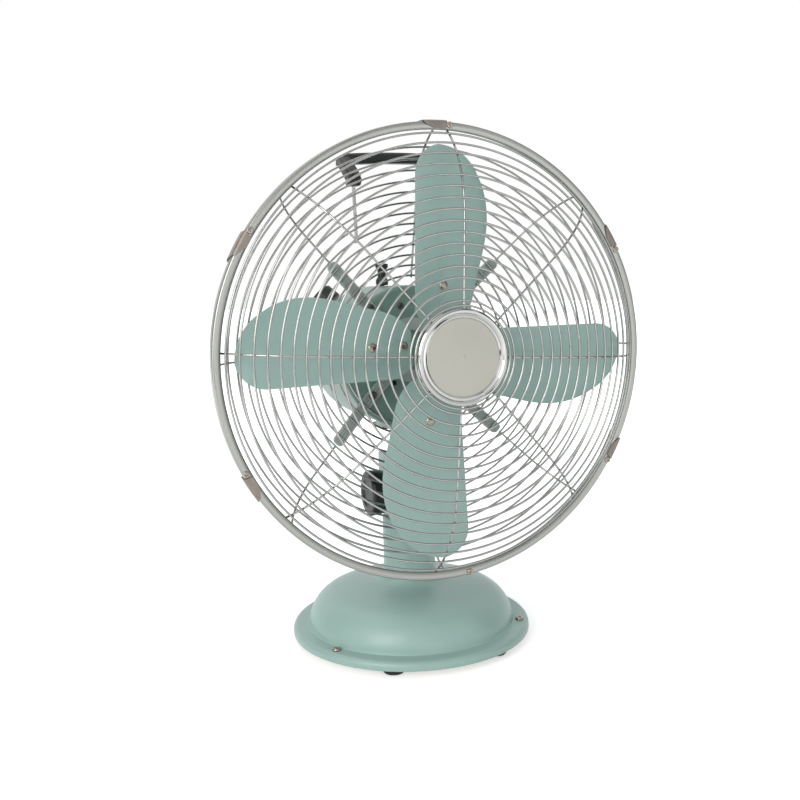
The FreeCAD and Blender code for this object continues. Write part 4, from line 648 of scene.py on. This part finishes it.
def button_head(name, head_radius, head_height, shank_radius, length):
    """A rivet with a button head, its seat at the origin and its shank below."""
    dome = [(head_radius * math.cos(math.radians(t)), head_height * math.sin(math.radians(t)))
            for t in range(0, 90, 10)]
    profile = [(0.0, -length), (shank_radius, -length), (shank_radius, 0.0),
               (head_radius * 0.96, 0.0)] + [(r, h + 0.15) for r, h in dome]
    return turned_form(name, profile + [(0.0, head_height + 0.15)], 40)


# %% The tree that sets copies on a plan
set_tree, set_in, set_out, set_keys = tree_with("Set along directions", {
    "Pattern": "NodeSocketObject", "Size": "NodeSocketFloat", "Finish": "NodeSocketMaterial"})
pattern = add(set_tree, "GeometryNodeObjectInfo", {"Object": set_in.outputs["Pattern"]})
facing = add(set_tree, "GeometryNodeInputNamedAttribute", {"Name": "facing"},
             data_type="FLOAT_VECTOR")
turned_to = add(set_tree, "FunctionNodeAlignRotationToVector",
                {"Vector": facing.outputs["Attribute"]}, axis="Z")
placed = add(set_tree, "GeometryNodeInstanceOnPoints",
             {"Points": set_in.outputs["Geometry"], "Instance": pattern.outputs["Geometry"],
              "Rotation": turned_to.outputs[0], "Scale": set_in.outputs["Size"]})
made_real = add(set_tree, "GeometryNodeRealizeInstances", {"Geometry": placed.outputs[0]})
finished = add(set_tree, "GeometryNodeSetMaterial", {"Geometry": made_real.outputs[0],
                                                     "Material": set_in.outputs["Finish"]})
set_tree.links.new(finished.outputs[0], set_out.inputs[0])
print("setting tree:", len(set_tree.nodes), "nodes")


def set_copies(name, form, spots, finish):
    """One object with a copy of a form at each (place in metres, direction)."""
    plan_mesh = bpy.data.meshes.new(name)
    plan_mesh.from_pydata([tuple(place) for place, way in spots], [], [])
    ways = plan_mesh.attributes.new("facing", "FLOAT_VECTOR", "POINT")
    for index, (place, way) in enumerate(spots):
        ways.data[index].vector = Vector(way).normalized()
    plan = bpy.data.objects.new(name, plan_mesh)
    model = bpy.data.objects.new(name + "_model", form)
    scene.collection.objects.link(plan)
    scene.collection.objects.link(model)
    run_tree(plan, set_tree, set_keys, {"Pattern": model, "Size": 1.0, "Finish": finish})
    bpy.data.objects.remove(model)
    print(name, len(spots), "copies,", len(plan.data.polygons), "faces")
    return plan


def stands_for(piece, node_name, body):
    """Shows a piece in place of a node and hands it to that node's body."""
    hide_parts(node_name)
    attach(piece, body)


# %% The head's screws
FORWARD = Vector((0.0, -1.0, 0.0))
COVER_FACE = -17.0 * MM
COVER_SCREW_CIRCLE, COVER_SCREW_ANGLES, COVER_HEAD = 36.5 * MM, (13, 103, 193, 283), 2.0
CRADLE_SCREW_DEPTH, CRADLE_SCREW_SIDE = 20 * MM, 11
ARM_SCREW_CIRCLE, ARM_ANGLES, ARM_HEAD = 49.0 * MM, (45, 135, 225, 315), 2.2
cover_spots = [(around_axis(COVER_SCREW_CIRCLE, angle, COVER_FACE), FORWARD)
               for angle in COVER_SCREW_ANGLES]
cradle_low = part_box("housing_screws")[0].z + COVER_HEAD * MM
cradle_spots = [(Vector((x * MM, CRADLE_SCREW_DEPTH, cradle_low)), (0, 0, -1))
                for x in (-CRADLE_SCREW_SIDE, CRADLE_SCREW_SIDE)]
# The cover and cradle screws take the darker zinc, a painted shade for where they sit behind the
# blades.
stands_for(set_copies("cover_and_cradle_screws",
                      pan_head("cover_screw", 2.8, COVER_HEAD, 1.45, 7.0),
                      cover_spots + cradle_spots, SHADED_ZINC), "housing_screws", "head")
arm_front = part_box("spider_screws")[0].y + ARM_HEAD * MM
arm_spots = [(around_axis(ARM_SCREW_CIRCLE, angle, arm_front), FORWARD) for angle in ARM_ANGLES]
# The arm screws take the same darker zinc, a painted shade.
stands_for(set_copies("arm_screws", pan_head("arm_screw", 3.4, ARM_HEAD, 1.75, 6.0), arm_spots,
                      SHADED_ZINC), "spider_screws", "head")
CLIP_ANGLES = (90, 30, -30, -150, 150)
CLIP_SCREW_LEAD = 3.2
LOCK_ANGLE = -84
BAND_SCREW_CIRCLE, BAND_FACE = 167.6 * MM, -83.3 * MM
band_spots = [(around_axis(BAND_SCREW_CIRCLE, angle, BAND_FACE), FORWARD)
              for angle in [clip - CLIP_SCREW_LEAD for clip in CLIP_ANGLES] + [LOCK_ANGLE]]
stands_for(set_copies("clip_screws", pan_head("clip_screw", 2.5, 1.5, 0.9, 0.9), band_spots, ZINC),
           "band_screws", "head")

# %% The base's screws
BRIM_SCREW_CIRCLE, BRIM_TOP = 90.9 * MM, 12.5 * MM
brim_spots = [(Vector((BRIM_SCREW_CIRCLE * math.cos(math.radians(a)),
                       BRIM_SCREW_CIRCLE * math.sin(math.radians(a)), BRIM_TOP)), (0, 0, 1))
              for a in (-30, 90, 210)]
stands_for(set_copies("brim_screws", pan_head("brim_screw", 3.4, 2.1, 1.65, 6.5), brim_spots, ZINC),
           "base_screws", "base")

# %% The rubber feet
FOOT_CIRCLE, FEET = 85.0 * MM, 6
foot_form = turned_form("foot", [(0.0, 0.0), (6.6, 0.0), (7.6, 0.35), (8.6, 1.6), (8.8, 2.6),
                                 (8.6, 5.3), (3.0, 5.45), (2.4, 6.5), (2.4, 8.0), (0.0, 8.0)], 40)
foot_spots = [(Matrix.Rotation(math.radians(60 * step), 3, "Z") @ Vector((FOOT_CIRCLE, 0, 0)),
               (0, 0, 1)) for step in range(FEET)]
stands_for(set_copies("rubber_pads", foot_form, foot_spots, RUBBER),
           "rubber_feet", "base")


# %% [markdown]
# ## The blades' rivets
#
# A blade is one pressed sheet. A flat flange runs along its straight edge, and past a crease a
# slightly cambered wing bends back to the bowed edge. The rivets stand square to that sheet, a
# little to one side of the crease, so their places and directions come from the same rule.

# %% The rule of the blade's sheet, and its rivets
BLADE_PLANE = 69.0
BLADE_SHEET = 1.0
ARM_SHEET = 1.6
CREASE_OFFSET, CREASE_LEAN = 4.4, 0.065
BOW_SLOPE, BOW_CAMBER, FLANGE_SLOPE = 0.13, 0.002, 0.07
BLADE_CONE = 0.074
INNER_RIVET, OUTER_RIVET, RIVET_SIDE = 26.0, 51.0, 6.5
HEAD_GAP = 0.05


def sheet_depth(out, across):
    """The depth in millimetres of a blade's rear face, out from the axis and across the blade."""
    past = across + CREASE_OFFSET - CREASE_LEAN * out
    rise = past * (BOW_SLOPE + BOW_CAMBER * past) if past > 0 else FLANGE_SLOPE * past
    return rise - BLADE_PLANE - BLADE_CONE * (out - INNER_RIVET)


rivet_spots = []
for out in (INNER_RIVET, OUTER_RIVET):
    slope_across = sheet_depth(out, RIVET_SIDE + 0.5) - sheet_depth(out, RIVET_SIDE - 0.5)
    slope_out = sheet_depth(out + 0.5, RIVET_SIDE) - sheet_depth(out - 0.5, RIVET_SIDE)
    normal = Vector((slope_across, -1.0, slope_out)).normalized()
    rear = Vector((RIVET_SIDE, sheet_depth(out, RIVET_SIDE), out))
    level = abs(normal.y)
    for way, gap in ((normal, BLADE_SHEET * level + HEAD_GAP),
                     (-normal, ARM_SHEET * level + HEAD_GAP)):
        for step in range(4):
            quarter = Matrix.Rotation(math.radians(90 * step), 3, "Y")
            place = quarter @ ((rear + way * gap) * MM)
            rivet_spots.append((place + Vector((0, 0, AXIS_HEIGHT)), quarter @ way))
stands_for(set_copies("rivet_heads", button_head("rivet", 3.6, 1.5, 1.9, 0.9), rivet_spots, ZINC),
           "blade_rivets", "rotor")


# %% [markdown]
# ## The pressed base
#
# The base is one sheet pressed from above: a neck, a hollow flare, a dome, a narrow brim and a
# rolled edge. It is all round one axis, so it is a profile turned about it. Each change of
# direction gets the radius that a press leaves, because that is what catches the light, and the
# hollow flare eases into the full dome along a cubic curve, with no line between them.

# %% A profile with rounded corners
def rounded(corners, steps=6):
    """Points along a line of (across, up, corner radius) corners, each corner an arc."""
    path = []
    for index, (x, y, radius) in enumerate(corners):
        here = Vector((x, y))
        if radius == 0 or index in (0, len(corners) - 1):
            path.append(here)
            continue
        back = (Vector(corners[index - 1][:2]) - here).normalized()
        ahead = (Vector(corners[index + 1][:2]) - here).normalized()
        bend = math.pi - back.angle(ahead)
        reach = radius * math.tan(bend / 2)
        middle = here + (back + ahead).normalized() * (radius / math.cos(bend / 2))
        start = here + back * reach - middle
        sweep = start.angle_signed(here + ahead * reach - middle)
        for step in range(steps + 1):
            turn = -sweep * step / steps
            path.append(middle + Vector((start.x * math.cos(turn) - start.y * math.sin(turn),
                                         start.x * math.sin(turn) + start.y * math.cos(turn))))
    return [(max(point.x, 0.0), point.y) for point in path]


def put(name, mesh, matrix=None, finish=None):
    """An object at the origin with its place in its mesh."""
    if matrix is not None:
        mesh.transform(matrix)
    piece = bpy.data.objects.new(name, mesh)
    scene.collection.objects.link(piece)
    if finish is not None:
        mesh.materials.clear()
        mesh.materials.append(finish)
    return piece


# %% The base shell
FLARE_CENTRE, FLARE_RADIUS, FLARE_HEIGHT = 43.5, 22.0, 62.0
DOME_CENTRE, DOME_RADIUS, DOME_HEIGHT = 55.02, 30.28, 11.0
FLARE_END, DOME_START = 35, 72


def flare_at(degrees):
    """A point on the flare and the way it runs downwards, by its angle."""
    t = math.radians(degrees)
    point = Vector((FLARE_CENTRE - FLARE_RADIUS * math.cos(t),
                    FLARE_HEIGHT - FLARE_RADIUS * math.sin(t)))
    return point, Vector((math.sin(t), -math.cos(t)))


def dome_at(degrees):
    """A point on the dome and the way it runs downwards, by its angle above the brim."""
    t = math.radians(degrees)
    point = Vector((DOME_CENTRE + DOME_RADIUS * math.cos(t),
                    DOME_HEIGHT + DOME_RADIUS * math.sin(t)))
    return point, Vector((math.sin(t), -math.cos(t)))


def eased(start, end, pull, steps):
    """A cubic curve from one (point, way) to another, that leaves and arrives along their ways."""
    first, leave = start
    last, arrive = end
    grips = (first, first + leave * pull[0], last - arrive * pull[1], last)
    curve = []
    for step in range(1, steps):
        u = step / steps
        shares = ((1 - u) ** 3, 3 * u * (1 - u) ** 2, 3 * u * u * (1 - u), u ** 3)
        curve.append(sum((grip * share for grip, share in zip(grips, shares)), Vector((0.0, 0.0))))
    return curve


shell_line = [(0.0, 100.0), (20.3, 100.0), (21.1, 99.6), (21.5, 98.6)]
shell_line += [tuple(flare_at(degrees)[0]) for degrees in range(0, FLARE_END + 1, 5)]
shell_line += [tuple(point)
               for point in eased(flare_at(FLARE_END), dome_at(DOME_START), (8.0, 18.0), 24)]
shell_line += [tuple(dome_at(degrees)[0]) for degrees in range(DOME_START, 5, -3)]
shell_line += rounded([(85.15, 13.8, 0), (85.6, 12.4, 1.1), (98.4, 12.5, 4.0), (98.4, 5.5, 0.6),
                       (97.2, 5.5, 0.3), (97.2, 11.35, 0)])[1:]
shell_line += [(84.2, 11.35), (83.8, 15.0), (80.0, 24.0), (70.0, 34.5), (57.0, 39.5), (44.0, 40.0),
               (32.0, 42.5), (24.0, 50.0), (20.3, 62.0), (20.0, 98.5), (0.0, 98.5)]
shell_form = turned_form("base_skin", [(r, z) for r, z in reversed(shell_line)], 192)
base_skin = put("base_skin", shell_form, finish=MINT)
stands_for(base_skin, "base_shell", "base")
print("base skin", len(shell_form.polygons), "faces")


# %% [markdown]
# ## The steel band
#
# A strip of stainless steel is rolled to a channel that holds both guards by their rim wires. Its
# edges are folded inwards, and its bends are round. On a real fan its two ends meet low on the
# front, where a small screw draws them together. Here the strip is one closed ring, and only
# that screw is made.

# %% The channel
TO_FAN_AXIS = Matrix.Translation((0, 0, AXIS_HEIGHT)) @ Matrix.Rotation(math.radians(90), 4, "X")


def ring_form(name, section, steps):
    """A closed ring turned about the fan's axis from a closed (radius, depth) section."""
    ring = bmesh.new()
    loops = []
    for step in range(steps):
        turn = 2 * math.pi * step / steps
        loops.append([ring.verts.new((r * MM * math.cos(turn), depth * MM,
                                      AXIS_HEIGHT + r * MM * math.sin(turn)))
                      for r, depth in section])
    for index, loop in enumerate(loops):
        after = loops[(index + 1) % steps]
        for corner in range(len(section)):
            beside = (corner + 1) % len(section)
            ring.faces.new((loop[corner], loop[beside], after[beside], after[corner]))
    bmesh.ops.recalc_face_normals(ring, faces=ring.faces)
    for face in ring.faces:
        face.smooth = True
    mesh = bpy.data.meshes.new(name)
    ring.to_mesh(mesh)
    ring.free()
    return mesh


band_outer = rounded([(164.2, -83.3, 0), (169.98, -83.3, 1.6), (169.98, -72.3, 1.6),
                      (166.6, -72.3, 0)], 5)
band_inner = rounded([(166.6, -73.4, 0), (168.9, -73.4, 0.6), (168.9, -82.2, 0.6),
                      (164.2, -82.2, 0)], 3)
band_mesh = ring_form("band", band_outer + [(166.2, -72.85)] + band_inner + [(163.85, -82.75)], 288)
stands_for(put("band", band_mesh, finish=BAND), "guard_band", "head")
print("band", len(band_mesh.polygons), "faces")


# %% [markdown]
# ## The spring clips
#
# Each clip is one strip of spring sheet folded over the band, so its section is the same all
# along: a front leg, a round bend, a wall over the band and a short rear leg. What changes is
# how long the strip is at each place in the section. Its screw's end is cut straight, and its
# far end is swept from a short front leg to a long rear edge that ends in a small lifting tab.

# %% One clip
LEG_EDGE, LEG_LENGTH = 164.6, 6.4
CLIP_FACE, CLIP_DEPTH = -84.7, 13.8
FRONT_LEG_LIMIT = -80.0
MID_RADIUS = 170.0
CLIP_SLICES = 12
SCREW_END, SWEPT_END = -9.6, 0.5
TAB_START, TAB_RUN, TAB_LIFT = 9.0, 4.0, 0.15
CLIP_TURN = 0.85


def clip_mesh(name, angle):
    """A clip over the band at an angle, with its screw's end towards smaller angles."""
    outer = rounded([(LEG_EDGE, CLIP_FACE, 0), (171.0, CLIP_FACE, 2.9), (171.0, -70.9, 1.2),
                     (166.8, -70.9, 0)], 8)
    inner = rounded([(LEG_EDGE, -83.9, 0), (170.2, -83.9, 2.1), (170.2, -71.7, 0.4),
                     (166.8, -71.7, 0)], 8)
    section = outer + list(reversed(inner))
    half = len(outer)
    shape = bmesh.new()
    rows = []
    for step in range(CLIP_SLICES + 1):
        row = []
        for index, (radius, depth) in enumerate(section):
            along = index if index < half else 2 * half - 1 - index
            front = 1.0
            if depth < FRONT_LEG_LIMIT:
                front = min(1.0, max(0.0, (radius - LEG_EDGE) / LEG_LENGTH))
            rear = min(1.0, max(0.0, (depth - CLIP_FACE) / CLIP_DEPTH))
            swept = 8.0 * math.sqrt(1 - (1 - front) ** 2)
            far = SWEPT_END + swept + 1.2 * rear + 3.5 * rear ** 8
            near = SCREW_END + 1.0 * (1 - front) ** 2
            reach = near + (far - near) * step / CLIP_SLICES
            turn = math.radians(angle) + reach / MID_RADIUS
            bent = max(0.0, (reach - TAB_START) / TAB_RUN) ** 2
            lift = TAB_LIFT * bent if along > 2 else 0.0
            row.append(shape.verts.new(((radius + lift) * MM * math.cos(turn), depth * MM,
                                        AXIS_HEIGHT + (radius + lift) * MM * math.sin(turn))))
        rows.append(row)
    count = len(section)
    for row, after in zip(rows, rows[1:]):
        for index in range(count):
            beside = (index + 1) % count
            shape.faces.new((row[index], row[beside], after[beside], after[index]))
    for row in (rows[0], rows[-1]):
        for index in range(half - 1):
            shape.faces.new((row[index], row[index + 1],
                             row[count - 2 - index], row[count - 1 - index]))
    bmesh.ops.recalc_face_normals(shape, faces=shape.faces)
    mesh = bpy.data.meshes.new(name)
    shape.to_mesh(mesh)
    shape.free()
    mesh.shade_smooth()
    mesh.set_sharp_from_angle(angle=math.radians(40))
    return mesh


for number, angle in enumerate(CLIP_ANGLES, start=1):
    clip_piece = put(f"spring_clip_{number}", clip_mesh(f"spring_clip_{number}", angle + CLIP_TURN),
                     finish=CLIP)
    stands_for(clip_piece, f"clip_{number}", f"clip_{number}")
print(len(CLIP_ANGLES), "clips")


# %% [markdown]
# ## The badge
#
# A chrome bezel is crimped over a plain spun disc. The bezel is a ring of three steps, a flat
# outer land, a groove and a round bead, and the disc is a little dished.

# %% Bezel and disc
bezel = rounded([(28.0, -118.6, 0), (28.0, -119.7, 0.25), (29.3, -120.2, 0.3), (30.7, -119.9, 0.4),
                 (31.5, -120.9, 0.5), (33.2, -121.2, 0.8), (34.4, -120.2, 0.6), (34.9, -118.9, 0.4),
                 (34.9, -116.4, 0.3), (31.4, -116.4, 0.3), (30.8, -118.6, 0)], 4)
stands_for(put("badge_bezel", ring_form("badge_bezel", bezel, 160), finish=CHROME),
           "badge_rim", "head")
dish = [(0.0, 118.9), (27.9, 118.9), (27.95, 119.6), (27.7, 119.75)]
dish += [(r, 120.05 - 0.35 * (r / 27.0) ** 2) for r in (27.0, 24.0, 20.0, 15.0, 10.0, 6.0, 3.0)]
dish += [(1.1, 120.0), (0.8, 120.12), (0.4, 120.16), (0.0, 120.18)]
disc_form = turned_form("badge_face", dish, 128)
stands_for(put("badge_face", disc_form, TO_FAN_AXIS, BADGE), "badge_disc", "head")


# %% [markdown]
# ## Softened edges
#
# The rest of the fan keeps the frame's shapes. Their edges are sharp, and real mouldings and
# castings never are, so a copy of each is welded, its flat faces are made whole, and a narrow
# bevel is run along its sharp edges.

# %% Soften a copy of a node
def softened(node_name, width_mm, body, steps=2, sharp=40, move=None):
    """Shows a bevelled copy of a node in its place. move may shift its points first."""
    shape = bmesh.new()
    shape.from_mesh(nodes[node_name].data)
    bmesh.ops.remove_doubles(shape, verts=shape.verts, dist=1e-6)
    if move:
        for vert in shape.verts:
            vert.co = move(vert.co)
    bmesh.ops.dissolve_limit(shape, angle_limit=math.radians(0.6), verts=shape.verts,
                             edges=shape.edges)
    mesh = bpy.data.meshes.new(node_name + "_soft")
    shape.to_mesh(mesh)
    shape.free()
    piece = put(node_name + "_soft", mesh, finish=FINISHES.get(node_name, ZINC))
    rounding = piece.modifiers.new("edges", "BEVEL")
    rounding.width = width_mm * MM
    rounding.segments = steps
    rounding.limit_method = "ANGLE"
    rounding.angle_limit = math.radians(sharp)
    rounding.harden_normals = False
    graph = bpy.context.evaluated_depsgraph_get()
    result = bpy.data.meshes.new_from_object(piece.evaluated_get(graph))
    piece.modifiers.clear()
    piece.data = result
    result.shade_smooth()
    result.set_sharp_from_angle(angle=math.radians(35))
    stands_for(piece, node_name, body)
    print(node_name, len(result.polygons), "faces")


softened("handle_grip", 1.2, "head", steps=3)


BOW_LIFT, FLANGE_LIFT = 0.05, 0.11


def firmer_crease(quarter):
    """Bends both sides of a blade a little forward of its crease, as a deep pressing leaves them."""
    upright = Matrix.Rotation(math.radians(-90 * quarter), 3, "Y")

    def move(point):
        flat = upright @ (point - Vector((0, 0, AXIS_HEIGHT)))
        past = flat.x + CREASE_OFFSET * MM - CREASE_LEAN * flat.z
        flat.y -= BOW_LIFT * past if past > 0 else -FLANGE_LIFT * past
        return upright.inverted() @ flat + Vector((0, 0, AXIS_HEIGHT))
    return move


for quarter in range(4):
    softened(f"blade_{quarter + 1}", 0.3, "rotor", move=firmer_crease(quarter))
softened("tilt_bracket", 1.2, "tilt_bracket", steps=3)
softened("neck_lug", 0.8, "base", steps=3)
softened("motor_cradle", 0.8, "head", steps=3)
